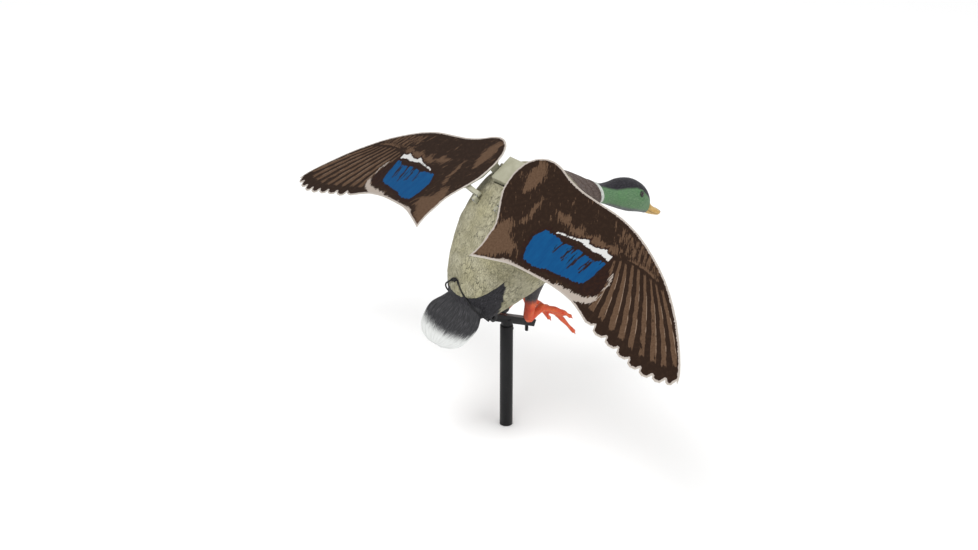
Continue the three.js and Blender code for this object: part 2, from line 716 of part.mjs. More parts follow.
// Yoke: slides up and down, and its forked ends lift both levers' pins.
const YOKE_HALF = 17.6;
const SLOT_PLAY = 0.4;
const slotHalf = LEVER_PIN_RADIUS + SLOT_PLAY;
const SCOTCH_PLAY = 1.5;
const scotchHalf = CRANK_PIN_RADIUS + SCOTCH_PLAY;
const yoke = cut(
  join(
    box(-YOKE_HALF, YOKE_HALF, YOKE_BACK, YOKE_FRONT, HINGE_Z - 4, HINGE_Z + 4),
    box(-5, 5, YOKE_BACK, YOKE_FRONT, CRANK_Z + 4, HINGE_Z),
    box(-13, 13, YOKE_BACK, YOKE_FRONT, CRANK_Z - scotchHalf - 3.5, CRANK_Z + scotchHalf + 3.5),
  ),
  box(PIN_X - 2.2, YOKE_HALF + 1, YOKE_BACK - 1, YOKE_FRONT + 1, HINGE_Z - slotHalf, HINGE_Z + slotHalf),
  box(-YOKE_HALF - 1, -PIN_X + 2.2, YOKE_BACK - 1, YOKE_FRONT + 1, HINGE_Z - slotHalf, HINGE_Z + slotHalf),
  box(-9.5, 9.5, YOKE_BACK - 1, YOKE_FRONT + 1, CRANK_Z - scotchHalf, CRANK_Z + scotchHalf),
);
add('drive_yoke', flapper(yoke), NATURAL_PLASTIC);

// Spur gear outline with straight-sided involute-like teeth, thinned for backlash.
function gearShape(teeth, module, firstToothAngle) {
  const pitchRadius = (teeth * module) / 2;
  const pressure = THREE.MathUtils.degToRad(20);
  const baseRadius = pitchRadius * Math.cos(pressure);
  const backlash = 0.12 * module;
  const tipRadius = pitchRadius + 0.85 * module;
  const rootRadius = pitchRadius - 1.2 * module;
  const involute = (radius) => {
    const ratio = Math.min(baseRadius / radius, 1);
    const angle = Math.acos(ratio);
    return Math.tan(angle) - angle;
  };
  const halfAtPitch = (Math.PI / 2 - backlash) / teeth;
  const flank = [rootRadius, Math.max(baseRadius, rootRadius + 0.05), pitchRadius, tipRadius];
  const halfWidth = (radius) => halfAtPitch + involute(pitchRadius) - involute(Math.max(radius, baseRadius));
  const points = [];
  for (let tooth = 0; tooth < teeth; tooth += 1) {
    const middle = firstToothAngle + (2 * Math.PI * tooth) / teeth;
    const rising = flank.map((radius) => [radius, middle - halfWidth(radius)]);
    const falling = [...flank].reverse().map((radius) => [radius, middle + halfWidth(radius)]);
    [...rising, ...falling].forEach(([radius, angle]) => {
      points.push(new THREE.Vector2(radius * Math.cos(angle), radius * Math.sin(angle)));
    });
  }
  return new THREE.Shape(points);
}

// A gear with its face across the flapper's y direction.
function gearSolid(teeth, firstToothAngle, centreZ) {
  const shape = gearShape(teeth, GEAR_MODULE, firstToothAngle);
  const solid = new THREE.ExtrudeGeometry(shape, { depth: GEAR_FRONT - GEAR_BACK, bevelEnabled: false });
  return solid.rotateX(Math.PI / 2).translate(0, GEAR_FRONT, centreZ);
}

// The gears mesh on the line between their centres, where one has a tooth and the other a space.
const PINION_Z = CRANK_Z - (GEAR_MODULE * (GEAR_TEETH + PINION_TEETH)) / 2;
const crankGear = join(
  gearSolid(GEAR_TEETH, -Math.PI / 2, CRANK_Z),
  rodY(3, GEAR_FRONT - 1, 60, 0, CRANK_Z),
  rodY(6, GEAR_FRONT - 1, PLATE_BACK - 0.5, 0, CRANK_Z),
  rodY(CRANK_PIN_RADIUS, YOKE_BACK - 0.5, GEAR_BACK + 1, CRANK_THROW, CRANK_Z, 16),
);
add('crank_gear', flapper(crankGear), NATURAL_PLASTIC);
const pinion = join(
  gearSolid(PINION_TEETH, Math.PI / 2 + Math.PI / PINION_TEETH, PINION_Z),
  rodY(1.5, GEAR_FRONT - 1, PLATE_FRONT + 0.5, 0, PINION_Z, 16),
);
add('motor_pinion', flapper(pinion), BRIGHT_STEEL);

// Chassis: the plate that carries the crank's bearing, the motor and the yoke's guides.
const PLATE_TOP = -40;
const PLATE_HALF = 20;
function guide(side) {
  const x0 = side > 0 ? 5.4 : -9;
  return box(x0, x0 + 3.6, YOKE_BACK, PLATE_BACK + 1, -50, -42);
}
const chassis = cut(
  join(
    box(-PLATE_HALF, PLATE_HALF, PLATE_BACK, PLATE_FRONT, -118, PLATE_TOP),
    box(-12, 12, PLATE_BACK, PLATE_FRONT, -172, -117),
    box(-12, 12, PLATE_FRONT - 1, PLATE_FRONT + 16, -172, -169),
    guide(1),
    guide(-1),
    rodY(7, PLATE_FRONT - 1, 59, 0, CRANK_Z, 24),
  ),
  rodY(3 + GAP, 30, 70, 0, CRANK_Z),
  rodY(3.5, 30, 70, 0, PINION_Z),
);
add('chassis_frame', flapper(chassis), NATURAL_PLASTIC);
const MOTOR_RADIUS = 13.8;
const MOTOR_BACK = PLATE_FRONT + GAP;
const motor = cut(
  join(
    rodY(MOTOR_RADIUS, MOTOR_BACK, MOTOR_BACK + 34, 0, PINION_Z, 28),
    rodY(5, MOTOR_BACK + 33, MOTOR_BACK + 37, 0, PINION_Z, 16),
  ),
  rodY(1.8, MOTOR_BACK - 1, MOTOR_BACK + 4, 0, PINION_Z, 16),
);
add('drive_motor', flapper(motor), BRIGHT_STEEL);

// Battery in its tray, and the control board above it, in the belly.
const TRAY = { x: 32, y0: -62, y1: 22, z0: -168, z1: -142 };
const tray = cut(
  box(-TRAY.x, TRAY.x, TRAY.y0, TRAY.y1, TRAY.z0, TRAY.z1),
  box(-TRAY.x + 2, TRAY.x - 2, TRAY.y0 + 2, TRAY.y1 - 2, TRAY.z0 + 2, TRAY.z1 + 1),
);
add('battery_tray', flapper(tray), NATURAL_PLASTIC);
add(
  'battery_pack',
  flapper(box(-TRAY.x + 3, TRAY.x - 3, TRAY.y0 + 3, TRAY.y1 - 3, TRAY.z0 + 2 + GAP, TRAY.z1 + 8)),
  BATTERY_GREY,
);
const BOARD_LOW = -122;
const board = join(
  box(-24, 24, -40, 14, BOARD_LOW, BOARD_LOW + 1.6),
  box(-12, 0, -20, -8, BOARD_LOW + 1, BOARD_LOW + 4),
  box(6, 18, -34, -22, BOARD_LOW + 1, BOARD_LOW + 9),
  box(4, 14, 0, 10, BOARD_LOW + 1, BOARD_LOW + 7),
);
add('control_board', flapper(board), BOARD_GREEN);

export default decoy;
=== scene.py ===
import math

import bmesh
import bpy
import numpy as np
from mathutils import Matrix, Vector, geometry, noise
from mathutils.bvhtree import BVHTree


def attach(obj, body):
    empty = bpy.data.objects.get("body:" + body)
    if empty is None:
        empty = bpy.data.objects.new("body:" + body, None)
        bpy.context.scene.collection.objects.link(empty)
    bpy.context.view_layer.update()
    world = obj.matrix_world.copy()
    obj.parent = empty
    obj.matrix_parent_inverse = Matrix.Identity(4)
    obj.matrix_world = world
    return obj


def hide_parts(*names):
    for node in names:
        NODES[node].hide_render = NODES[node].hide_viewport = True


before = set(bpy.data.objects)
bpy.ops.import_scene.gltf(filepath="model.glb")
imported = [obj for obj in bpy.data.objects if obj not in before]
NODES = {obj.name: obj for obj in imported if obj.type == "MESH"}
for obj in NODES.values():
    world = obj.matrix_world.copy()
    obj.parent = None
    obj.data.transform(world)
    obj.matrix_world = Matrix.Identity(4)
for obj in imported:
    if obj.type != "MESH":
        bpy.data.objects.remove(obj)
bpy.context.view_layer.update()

# Points and sizes are in millimetres until a mesh is made.
MM = 0.001


# ---------------------------------------------------------------- camera, floor and light

def look_along(obj, azimuth, elevation, distance, target):
    """Puts obj that far from target, looking at it. Azimuth 0 looks along +Y."""
    a, e = math.radians(azimuth), math.radians(elevation)
    back = Vector((math.sin(a) * math.cos(e), -math.cos(a) * math.cos(e), math.sin(e)))
    obj.location = (Vector(target) + back * distance) * MM
    obj.rotation_mode = "QUATERNION"
    obj.rotation_quaternion = (-back).to_track_quat("-Z", "Y")


def make_camera():
    camera = bpy.data.cameras.new("camera")
    camera.sensor_width = 36.0
    camera.lens = 67.1
    camera.clip_end = 50.0
    obj = bpy.data.objects.new("camera", camera)
    bpy.context.collection.objects.link(obj)
    look_along(obj, azimuth=52.0, elevation=25.12, distance=2955.0, target=(2, -38.5, 290))
    bpy.context.scene.camera = obj


def make_light(name, azimuth, elevation, size, power):
    light = bpy.data.lights.new(name, "AREA")
    light.shape = "DISK"
    light.size = size
    light.energy = power
    obj = bpy.data.objects.new(name, light)
    bpy.context.collection.objects.link(obj)
    look_along(obj, azimuth, elevation, distance=2600.0, target=(0, 0, 330))


def make_stage():
    scene = bpy.context.scene
    scene.view_settings.view_transform = "Standard"
    world = bpy.data.worlds.new("studio")
    scene.world = world
    world.use_nodes = True
    sky = world.node_tree.nodes["Background"]
    sky.inputs["Color"].default_value = (1.0, 1.0, 1.0, 1.0)
    sky.inputs["Strength"].default_value = 0.97
    make_light("key_light", azimuth=20.0, elevation=62.0, size=1.4, power=36.0)
    make_light("fill_light", azimuth=95.0, elevation=25.0, size=2.2, power=10.0)
    bpy.ops.mesh.primitive_plane_add(size=30.0, location=(0, 0, -0.0005))
    floor = bpy.context.object
    floor.name = "floor"
    paper = Look("floor_paper", roughness=0.95)
    paper.colour((0.94, 0.94, 0.94))
    floor.data.materials.append(paper.material)


# ---------------------------------------------------------------- looks

def paint(red, green, blue, light=1.42):
    """Linear colour that shows as these 8-bit display values under that much light."""
    def linear(value):
        value /= 255.0
        return (value / 12.92 if value <= 0.04045 else ((value + 0.055) / 1.055) ** 2.4) / light
    return (linear(red), linear(green), linear(blue))


class Signal:
    """A number that comes out of a shader node. Plain arithmetic on it makes Math nodes."""

    def __init__(self, look, socket):
        self.look = look
        self.socket = socket

    def __add__(self, other):
        return self.look.math("ADD", self, other)

    def __sub__(self, other):
        return self.look.math("SUBTRACT", self, other)

    def __rsub__(self, other):
        return self.look.math("SUBTRACT", other, self)

    def __mul__(self, other):
        return self.look.math("MULTIPLY", self, other)

    __radd__ = __add__
    __rmul__ = __mul__


class Look:
    """A principled material, with short calls for the nodes that feed it."""

    def __init__(self, name, roughness=0.5, metallic=0.0, specular=0.4):
        self.material = bpy.data.materials.new(name)
        self.material.use_nodes = True
        self.tree = self.material.node_tree
        self.shader = self.tree.nodes["Principled BSDF"]
        self.shader.inputs["Roughness"].default_value = roughness
        self.shader.inputs["Metallic"].default_value = metallic
        self.shader.inputs["Specular IOR Level"].default_value = specular

    def put(self, socket, value):
        value = getattr(value, "socket", value)
        if isinstance(value, bpy.types.NodeSocket):
            self.tree.links.new(value, socket)
        elif socket.type == "RGBA":
            socket.default_value = (*value, 1.0)
        else:
            socket.default_value = value

    def node(self, kind, inputs=None, **settings):
        """A new shader node with these settings, and these inputs by name or number."""
        made = self.tree.nodes.new("ShaderNode" + kind)
        for name, value in settings.items():
            setattr(made, name, value)
        for name, value in (inputs or {}).items():
            self.put(made.inputs[name], value)
        return made

    def math(self, operation, a, b=0.0):
        return Signal(self, self.node("Math", {0: a, 1: b}, operation=operation).outputs[0])

    def attribute(self, name):
        return Signal(self, self.node("Attribute", attribute_name=name).outputs["Fac"])

    def vector(self, x, y, z=0.0):
        return self.node("CombineXYZ", {0: x, 1: y, 2: z}).outputs[0]

    def place(self, x=1.0, y=1.0, z=1.0, turn=(0.0, 0.0, 0.0)):
        """The object's own coordinates in millimetres, turned and then multiplied."""
        inputs = {
            "Vector": self.node("TexCoord").outputs["Object"],
            "Rotation": turn,
            "Scale": (MM / x, MM / y, MM / z),
        }
        return self.node("Mapping", inputs, vector_type="TEXTURE").outputs[0]

    def warped(self, vector, amount, scale=1.0):
        """The vector, pushed about by noise."""
        pushed = self.node("TexNoise", {"Vector": vector, "Scale": scale, "Detail": 3.0})
        inputs = {0: pushed.outputs["Color"], 1: (amount, amount, amount), 2: vector}
        return self.node("VectorMath", inputs, operation="MULTIPLY_ADD").outputs[0]

    def noise(self, vector, scale=1.0, detail=3.0, roughness=0.55):
        inputs = {"Vector": vector, "Scale": scale, "Detail": detail, "Roughness": roughness}
        return Signal(self, self.node("TexNoise", inputs).outputs["Fac"])

    def cracks(self, vector, scale=1.0):
        """Distance to the edge of the nearest irregular cell."""
        inputs = {"Vector": vector, "Scale": scale}
        made = self.node("TexVoronoi", inputs, feature="DISTANCE_TO_EDGE")
        return Signal(self, made.outputs["Distance"])

    def span(self, value, low, high):
        """0 at low and beyond it, 1 at high and beyond it."""
        inputs = {"Value": value, "From Min": low, "From Max": high}
        return Signal(self, self.node("MapRange", inputs).outputs["Result"])

    def mix(self, factor, a, b):
        return self.node("Mix", {0: factor, 6: a, 7: b}, data_type="RGBA").outputs[2]

    def blend(self, value, low, high, a, b):
        """Colour a where the value is at low, and b where it is at high."""
        return self.mix(self.span(value, low, high), a, b)

    def colour(self, value):
        self.put(self.shader.inputs["Base Color"], value)

    def rough(self, value):
        self.put(self.shader.inputs["Roughness"], value)

    def bump(self, height, distance):
        """Relief from a height of 0 to 1, that many millimetres deep."""
        made = self.node("Bump", {"Strength": 1.0, "Distance": distance * MM, "Height": height})
        self.put(self.shader.inputs["Normal"], made.outputs["Normal"])


def plastic_look(name, base, worn, roughness=0.5, grain=1.6):
    """Moulded plastic: a fine grain, faint mottling and dull patches."""
    look = Look(name, roughness=roughness)
    mottle = look.noise(look.place(), 0.06, 4.0)
    fine = look.noise(look.place(), grain, 2.0)
    look.colour(look.blend(mottle, 0.35, 0.7, base, worn))
    look.rough(roughness - 0.1 + mottle * 0.25)
    look.bump(fine, 0.05)
    return look.material


def steel_look(name, base, worn, metallic, roughness, turn=(0.0, 0.0, 0.0)):
    """Plated or coated steel: drawn streaks, small scuffs and uneven gloss."""
    look = Look(name, roughness=roughness, metallic=metallic, specular=0.3)
    streaks = look.noise(look.place(1.2, 1.2, 0.03, turn), 1.0, 3.0)
    scuffs = look.noise(look.place(), 0.35, 5.0, 0.7)
    marks = look.span(scuffs, 0.56, 0.72) * look.span(streaks, 0.3, 0.7)
    look.colour(look.mix(marks, base, worn))
    look.rough(roughness - 0.08 + scuffs * 0.28)
    look.bump(streaks * 0.5 + scuffs, 0.04)
    return look.material


def feathered(look, base, pale, deep):
    """A moulded plumage colour: barbs along each feather, painted shade in the creases between them, and
    mottling.
    """
    across, along = look.attribute("across"), look.attribute("along")
    barbs = look.noise(look.vector(across * 1.1, along * 0.16))
    mottle = look.noise(look.place(), 0.035, 4.0, 0.6)
    fine = look.noise(look.place(), 0.45, 4.0, 0.65)
    colour = look.blend(barbs * 0.55 + mottle * 0.6, 0.42, 0.74, base, pale)
    # Painted shade: the deep colour goes into the creases at the overlying feathers' edges and along the
    # cord.
    crease_shade = look.attribute("crease") * look.span(fine, 0.3, 0.62)
    return look.mix(crease_shade, colour, deep), barbs, fine


def body_look():
    look = Look("body_paint", roughness=0.68, specular=0.25)
    # The third colour is the painted shade that feathered puts in the creases.
    cream, barbs, fine = feathered(look, paint(158, 153, 124), paint(206, 201, 174), paint(66, 63, 48))
    yellow = look.noise(look.place(), 0.016, 2.0)
    cream = look.blend(yellow, 0.42, 0.66, cream, look.mix(0.3, cream, paint(186, 178, 124)))
    along_body = (AXIS_PITCH, 0.0, 0.0)
    bark = look.cracks(look.warped(look.place(0.12, 0.04, 0.12, along_body), 1.3, 1.8))
    hair = look.cracks(look.warped(look.place(0.42, 0.12, 0.42, along_body), 0.9, 1.3))
    patches = look.noise(look.place(), 0.03, 4.0, 0.6)
    deep_line = look.span(bark, 0.035, 0.008) * look.span(patches, 0.46, 0.56)
    fine_line = look.span(hair, 0.09, 0.0) * look.span(patches, 0.6, 0.4)
    # Painted shade in the crack lines, which the bump below also recesses.
    crack_shade = look.math("MAXIMUM", deep_line * 0.9, fine_line * 0.48)
    grooves = look.span(barbs, 0.47, 0.36) * 0.55
    cream = look.mix(grooves, cream, paint(96, 91, 70))
    cream = look.mix(crack_shade, cream, paint(58, 54, 40))
    across, along = look.attribute("across"), look.attribute("along")
    streak = look.noise(look.vector(across, along * 0.1), 1.6, 4.0)
    black = look.blend(streak, 0.46, 0.74, paint(26, 25, 29), paint(92, 90, 96))
    brown = look.blend(streak, 0.4, 0.7, paint(78, 64, 59), paint(132, 114, 106))
    wobble = (look.noise(look.place(), 0.12, 4.0) - 0.5) * 14.0
    dark = look.span(look.attribute("rump") + wobble, -1.5, 1.5)
    neck = look.span(look.attribute("breast") + wobble, -6.0, 6.0)
    collar = look.span(look.attribute("collar") + wobble * 0.08, -0.3, 0.3)
    colour = look.mix(dark, look.mix(neck, cream, brown), black)
    look.colour(look.mix(collar, colour, paint(226, 230, 224)))
    look.rough(fine * 0.25 + 0.56)
    look.bump(barbs * 0.6 + fine * 0.5 - crack_shade * 1.3, 0.7)
    return look.material


def tail_look():
    look = Look("tail_paint", roughness=0.66)
    across, along = look.attribute("across"), look.attribute("along")
    barbs = look.noise(look.vector(across, along * 0.07), 1.0, 4.0, 0.6)
    fine = look.noise(look.place(), 0.5, 4.0, 0.65)
    black = look.blend(barbs, 0.5, 0.74, paint(26, 26, 30), paint(96, 94, 98))
    white = look.blend(barbs, 0.3, 0.6, paint(206, 208, 206), paint(244, 246, 244))
    # Painted shade on the white, in the creases between the tail's blades.
    white = look.mix(look.attribute("crease") * 0.14, white, paint(150, 148, 146))
    reach = look.attribute("tip") + (barbs - 0.5) * 42.0
    look.colour(look.blend(reach, -5.0, 7.0, white, black))
    look.rough(fine * 0.25 + 0.55)
    look.bump(barbs * 0.8 + fine * 0.3, 0.4)
    return look.material


def head_look():
    look = Look("head_paint", roughness=0.55, specular=0.2)
    streak = look.noise(look.vector(look.attribute("across"), look.attribute("along") * 0.16), 0.9, 4.0, 0.6)
    fine = look.noise(look.place(), 0.5, 4.0, 0.65)
    soft = look.noise(look.place(), 0.07, 3.0)
    wobble = (streak - 0.5) * 5.0
    green = look.blend(streak, 0.36, 0.68, paint(76, 116, 80), paint(120, 154, 114))
    green = look.blend(soft, 0.5, 0.72, green, look.mix(0.4, green, paint(96, 150, 92)))
    black = look.blend(streak, 0.48, 0.75, paint(26, 24, 30), paint(86, 82, 92))
    grey = look.blend(streak, 0.4, 0.7, paint(74, 72, 82), paint(118, 112, 122))
    crown = look.span(look.attribute("crown") + wobble, -1.6, 1.6)
    throat = look.span(look.attribute("throat") + wobble, -3.0, 3.5)
    colour = look.mix(throat * 0.85, green, grey)
    colour = look.mix(crown, colour, black)
    ring = look.span(look.attribute("ring") + wobble * 0.12, -0.4, 0.4)
    look.colour(look.mix(ring, colour, paint(214, 220, 212)))
    look.rough(fine * 0.25 + 0.42)
    look.bump(streak * 0.8 + fine * 0.3, 0.45)
    return look.material


def bill_look():
    look = Look("bill_paint", roughness=0.42)
    mottle = look.noise(look.place(), 0.12, 4.0)
    fine = look.noise(look.place(0.3, 1.0, 1.0), 0.9, 3.0)
    ochre = look.blend(mottle, 0.35, 0.68, paint(206, 160, 82), paint(236, 204, 136))
    ochre = look.mix(look.attribute("mouth") * 0.7, ochre, paint(120, 92, 48))
    look.colour(look.mix(look.attribute("nail"), ochre, paint(34, 30, 26)))
    look.bump(mottle + fine * 0.4, 0.15)
    return look.material


def leg_look():
    look = Look("leg_paint", roughness=0.45)
    scales = look.cracks(look.place(1.0, 1.0, 1.0), 0.42)
    soft = look.noise(look.place(), 0.08, 4.0)
    fine = look.noise(look.place(), 0.7, 3.0)
    orange = look.blend(soft, 0.35, 0.68, paint(240, 74, 28), paint(255, 124, 66))
    orange = look.mix((1.0 - look.span(scales, 0.0, 0.16)) * 0.3, orange, paint(150, 34, 34))
    wobble = (look.noise(look.place(1.0, 1.0, 0.2), 0.5, 4.0) - 0.5) * 10.0
    shade = look.span(look.attribute("shade") + wobble, -3.0, 4.0)
    orange = look.mix(shade * 0.5, orange, paint(150, 26, 40))
    feather = look.blend(fine, 0.45, 0.7, paint(42, 38, 42), paint(92, 84, 84))
    thigh = look.span(look.attribute("thigh") + wobble, -5.0, 5.0)
    look.colour(look.mix(thigh, orange, feather))
    look.bump(look.span(scales, 0.0, 0.2) + fine * 0.5, 0.3)
    return look.material


def wing_look():
    """The printed top of a wing: flat areas of colour with ragged edges, and long blades."""
    look = Look("wing_print", roughness=0.82, specular=0.12)

    def ink(*values):
        return paint(*values, light=1.95)

    def centred(value, amount):
        return (value - 0.5) * amount

    wide, deep = look.attribute("wide"), look.attribute("deep")
    comb = centred(look.noise(look.vector(wide * 0.36, deep * 0.045), 1.0, 3.0, 0.6), 20.0)
    torn = centred(look.noise(look.vector(wide, deep), 0.16, 4.0, 0.65), 13.0)
    slant = wide + deep * 0.7
    brush = centred(look.noise(look.vector(slant * 0.3, deep * 0.06), 1.0, 4.0, 0.65), 40.0)

    def patch(name, wobble, soft=0.35):
        return look.span(look.attribute(name) + wobble, -soft, soft)

    ground = look.blend(torn, 0.0, 1.2, ink(50, 32, 20), ink(58, 39, 26))
    cloud = look.noise(look.vector(wide, deep), 0.3, 3.0)
    tan = look.blend(cloud, 0.4, 0.6, ink(106, 80, 60), ink(118, 91, 70))
    colour = look.mix(patch("tan", brush + torn * 0.5), ground, tan)
    specks = look.noise(look.vector(slant * 0.13, deep * 0.035), 1.0, 5.0, 0.72)
    freckled = look.span(specks, 0.61, 0.62) * look.span(look.attribute("quiet"), 2.0, -2.0)
    colour = look.mix(freckled, colour, tan)

    lane = look.attribute("lane") + 0.5
    blade = look.math("FLOOR", lane)
    side = (lane - blade - 0.5) * 2.0
    reach = look.attribute("reach")
    blade_noise = look.noise(look.vector(side * 1.6, reach * 7.0, blade * 7.3), 1.0, 4.0, 0.6)
    wander = centred(blade_noise, 0.9)
    shifted = side + wander
    taper = look.math("POWER", look.math("MAXIMUM", reach, 0.0), 4.0) * 0.45
    swell = reach * 0.42 - taper
    vane = look.math("MINIMUM", shifted + 0.22 + swell, 0.46 - shifted + swell)
    ends = reach + wander * 0.14
    vane = look.span(vane, -0.03, 0.03) * (look.span(ends, 0.03, 0.05) * look.span(ends, 0.85, 0.835))
    fan = look.mix(vane * look.span(blade_noise, 0.66, 0.64), ground, tan)
    shaft = look.math("ABSOLUTE", side + 0.3)
    shaft = look.span(shaft, 0.08, 0.03) * look.span(blade_noise, 0.46, 0.5)
    shaft = shaft * (look.span(reach, 0.18, 0.24) * look.span(reach, 0.78, 0.7))
    fan = look.mix(shaft, fan, ink(176, 152, 132))
    colour = look.mix(patch("fan", torn * 0.5, 0.4), colour, fan)

    border = look.blend(torn, -1.0, 2.0, ink(44, 24, 18), ink(58, 32, 20))
    colour = look.mix(patch("border", comb + torn), colour, border)
    colour = look.mix(patch("white", comb * 0.45), colour, ink(252, 251, 248))
    streaks = look.noise(look.vector(wide * 0.1, deep * 0.02), 1.0, 4.0, 0.7)
    blue = look.blend(streaks, 0.35, 0.65, ink(0, 82, 142), ink(6, 96, 156))
    blue = look.blend(streaks, 0.63, 0.645, blue, ink(14, 34, 50))
    colour = look.mix(patch("blue", comb * 0.5), colour, blue)
    colour = look.mix(patch("pale", comb * 0.95), colour, ink(208, 194, 182))
    rim = look.attribute("rim") + (torn + comb) * 0.2
    look.colour(look.blend(rim, 2.9, 3.3, ink(216, 204, 194), colour))
    weave = look.noise(look.vector(wide, deep), 2.2, 2.0)
    look.bump(weave * 0.7 + vane * 0.3, 0.08)
    return look.material


def wing_lining_look():
    """The wing's plain underside: unprinted pale fabric."""
    look = Look("wing_lining", roughness=0.85)
    wide, deep = look.attribute("wide"), look.attribute("deep")
    warp = look.noise(look.vector(wide * 2.4, deep * 0.3))
    weft = look.noise(look.vector(wide * 0.3, deep * 2.4))
    thread = (warp + weft) * 0.5
    stain = look.noise(look.vector(wide, deep), 0.02, 4.0)
    pale = look.blend(thread, 0.38, 0.62, paint(196, 188, 176), paint(222, 216, 206))
    look.colour(look.blend(stain, 0.5, 0.75, pale, paint(186, 176, 160)))
    look.bump(thread, 0.12)
    return look.material


# ---------------------------------------------------------------- mesh helpers

SIDES = (("right", 1), ("left", -1))
# A direction that no axis or tube here runs along, to start the first spoke from.
ODD_WAY = (0.31, 0.2, 0.93)


def unit(vectors):
    return vectors / np.linalg.norm(vectors, axis=-1, keepdims=True)


def rotated(first, second, angle):
    """A pair of coordinates, turned from the first axis towards the second."""
    c, s = math.cos(angle), math.sin(angle)
    return first * c - second * s, first * s + second * c


def add_layers(mesh, layers):
    """Stores a number for each point under each name, for the looks to read."""
    for name, values in layers.items():
        layer = mesh.attributes.new(name, "FLOAT", "POINT")
        layer.data.foreach_set("value", np.asarray(values, np.float32))


def make_piece(name, shape, body, slot, looks, stands_for=(), **layers):
    """A smooth piece from (points in millimetres, faces), riding on a body."""
    points, faces = shape
    mesh = bpy.data.meshes.new(name)
    mesh.from_pydata((np.asarray(points) * MM).tolist(), [], faces)
    mesh.polygons.foreach_set("use_smooth", [True] * len(mesh.polygons))
    add_layers(mesh, layers)
    for material in looks:
        mesh.materials.append(material)
    obj = bpy.data.objects.new(name, mesh)
    bpy.context.collection.objects.link(obj)
    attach(obj, body)
    if stands_for:
        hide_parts(*stands_for)
    return obj


def modifier(obj, kind, **settings):
    added = obj.modifiers.new(kind.lower(), kind)
    for name, value in settings.items():
        setattr(added, name, value)


def apply_modifiers(obj):
    """Gives obj the mesh that its modifiers make."""
    graph = bpy.context.evaluated_depsgraph_get()
    mesh = bpy.data.meshes.new_from_object(obj.evaluated_get(graph))
    obj.modifiers.clear()
    obj.data = mesh


def grid_faces(rings, sides):
    """Quads between rings of points, each ring a loop."""
    return [
        (ring * sides + side, ring * sides + after, (ring + 1) * sides + after, (ring + 1) * sides + side)
        for ring in range(rings - 1)
        for side, after in zip(range(sides), [*range(1, sides), 0])
    ]


def caps(rings, sides):
    first = tuple(reversed(range(sides)))
    last = tuple(range((rings - 1) * sides, rings * sides))
    return [first, last]


def closed_faces(rings, sides):
    return grid_faces(rings, sides) + caps(rings, sides)


def noise_at(points, size, seed=0.0):
    """Smooth noise from -1 to 1 at each point, with features of that size in millimetres."""
    offset = Vector((seed, seed * 1.7, -seed))
    return np.array([noise.noise(Vector(p) / size + offset) for p in points])


def spline(knots, at):
    """Centripetal Catmull-Rom curve through the knots, at values from 0 to 1."""
    knots = np.asarray(knots, float)
    last = len(knots) - 1
    ends = [2 * knots[0] - knots[1], *knots, 2 * knots[-1] - knots[-2]]
    result = []
    for value in at:
        place = min(max(value, 0.0), 1.0) * last
        first = min(int(place), last - 1)
        weight = place - first
        p0, p1, p2, p3 = ends[first:first + 4]
        gaps = (p1 - p0, p2 - p1, p3 - p2)
        d0, d1, d2 = (max(np.sum(gap ** 2) ** 0.25, 1e-4) for gap in gaps)
        t1 = ((p1 - p0) / d0 - (p2 - p0) / (d0 + d1) + (p2 - p1) / d1) * d1
        t2 = ((p2 - p1) / d1 - (p3 - p1) / (d1 + d2) + (p3 - p2) / d2) * d1
        result.append(
            p1 + t1 * weight + (-3 * p1 + 3 * p2 - 2 * t1 - t2) * weight ** 2
            + (2 * p1 - 2 * p2 + t1 + t2) * weight ** 3
        )
    return np.array(result)


class Form:
    """A moulded form: elliptic sections between a line of high points and a line of low ones."""

    def __init__(self, stations, rings, sides, start=0.0, end=1.0, square=2.0):
        at = np.linspace(start, end, rings)
        tops = spline([(half, *top) for top, low, half in stations], at)
        lows = spline([(half, *low) for top, low, half in stations], at)
        self.rings, self.sides = rings, sides
        turn = np.linspace(0, 2 * math.pi, sides, endpoint=False)
        self.turn = np.tile(turn, rings)
        self.at = np.repeat(at, sides)
        self.half = np.repeat(tops[:, 0], sides)
        middle = (tops[:, 1:] + lows[:, 1:]) / 2
        rise = (tops[:, 1:] - lows[:, 1:]) / 2
        power = 2.0 / square
        wide = np.sign(np.cos(turn)) * np.abs(np.cos(turn)) ** power
        tall = np.sign(np.sin(turn)) * np.abs(np.sin(turn)) ** power
        x = tops[:, 0, None] * wide[None]
        y = middle[:, 0, None] + rise[:, 0, None] * tall[None]
        z = middle[:, 1, None] + rise[:, 1, None] * tall[None]
        self.points = np.stack([x, y, z], -1).reshape(-1, 3)
        step = np.linalg.norm(np.diff(middle, axis=0), axis=1)
        self.place = np.repeat(np.concatenate([[0], np.cumsum(step)]), sides)
        reach = np.linalg.norm(rise, axis=1)
        self.girth = np.repeat(math.pi * (tops[:, 0] + reach), sides)
        grid = self.points.reshape(rings, sides, 3)
        ahead = np.gradient(grid, axis=0)
        around = np.roll(grid, -1, 1) - np.roll(grid, 1, 1)
        normal = np.cross(ahead, around)
        normal /= np.linalg.norm(normal, axis=2, keepdims=True) + 1e-9
        self.normals = normal.reshape(-1, 3)
        self.faces = [face[::-1] for face in grid_faces(rings, sides)]
        self.caps = [face[::-1] for face in caps(rings, sides)]

    def raised(self, height):
        return self.points + self.normals * np.asarray(height)[:, None]


def scatter(first, second):
    """A fixed random value from 0 to 1 for each pair of whole numbers."""
    value = np.sin(first * 12.9898 + second * 78.233) * 43758.5453
    return value - np.floor(value)


# How many rows of feathers a feather's slope runs over.
FEATHER_LAP = 2.4


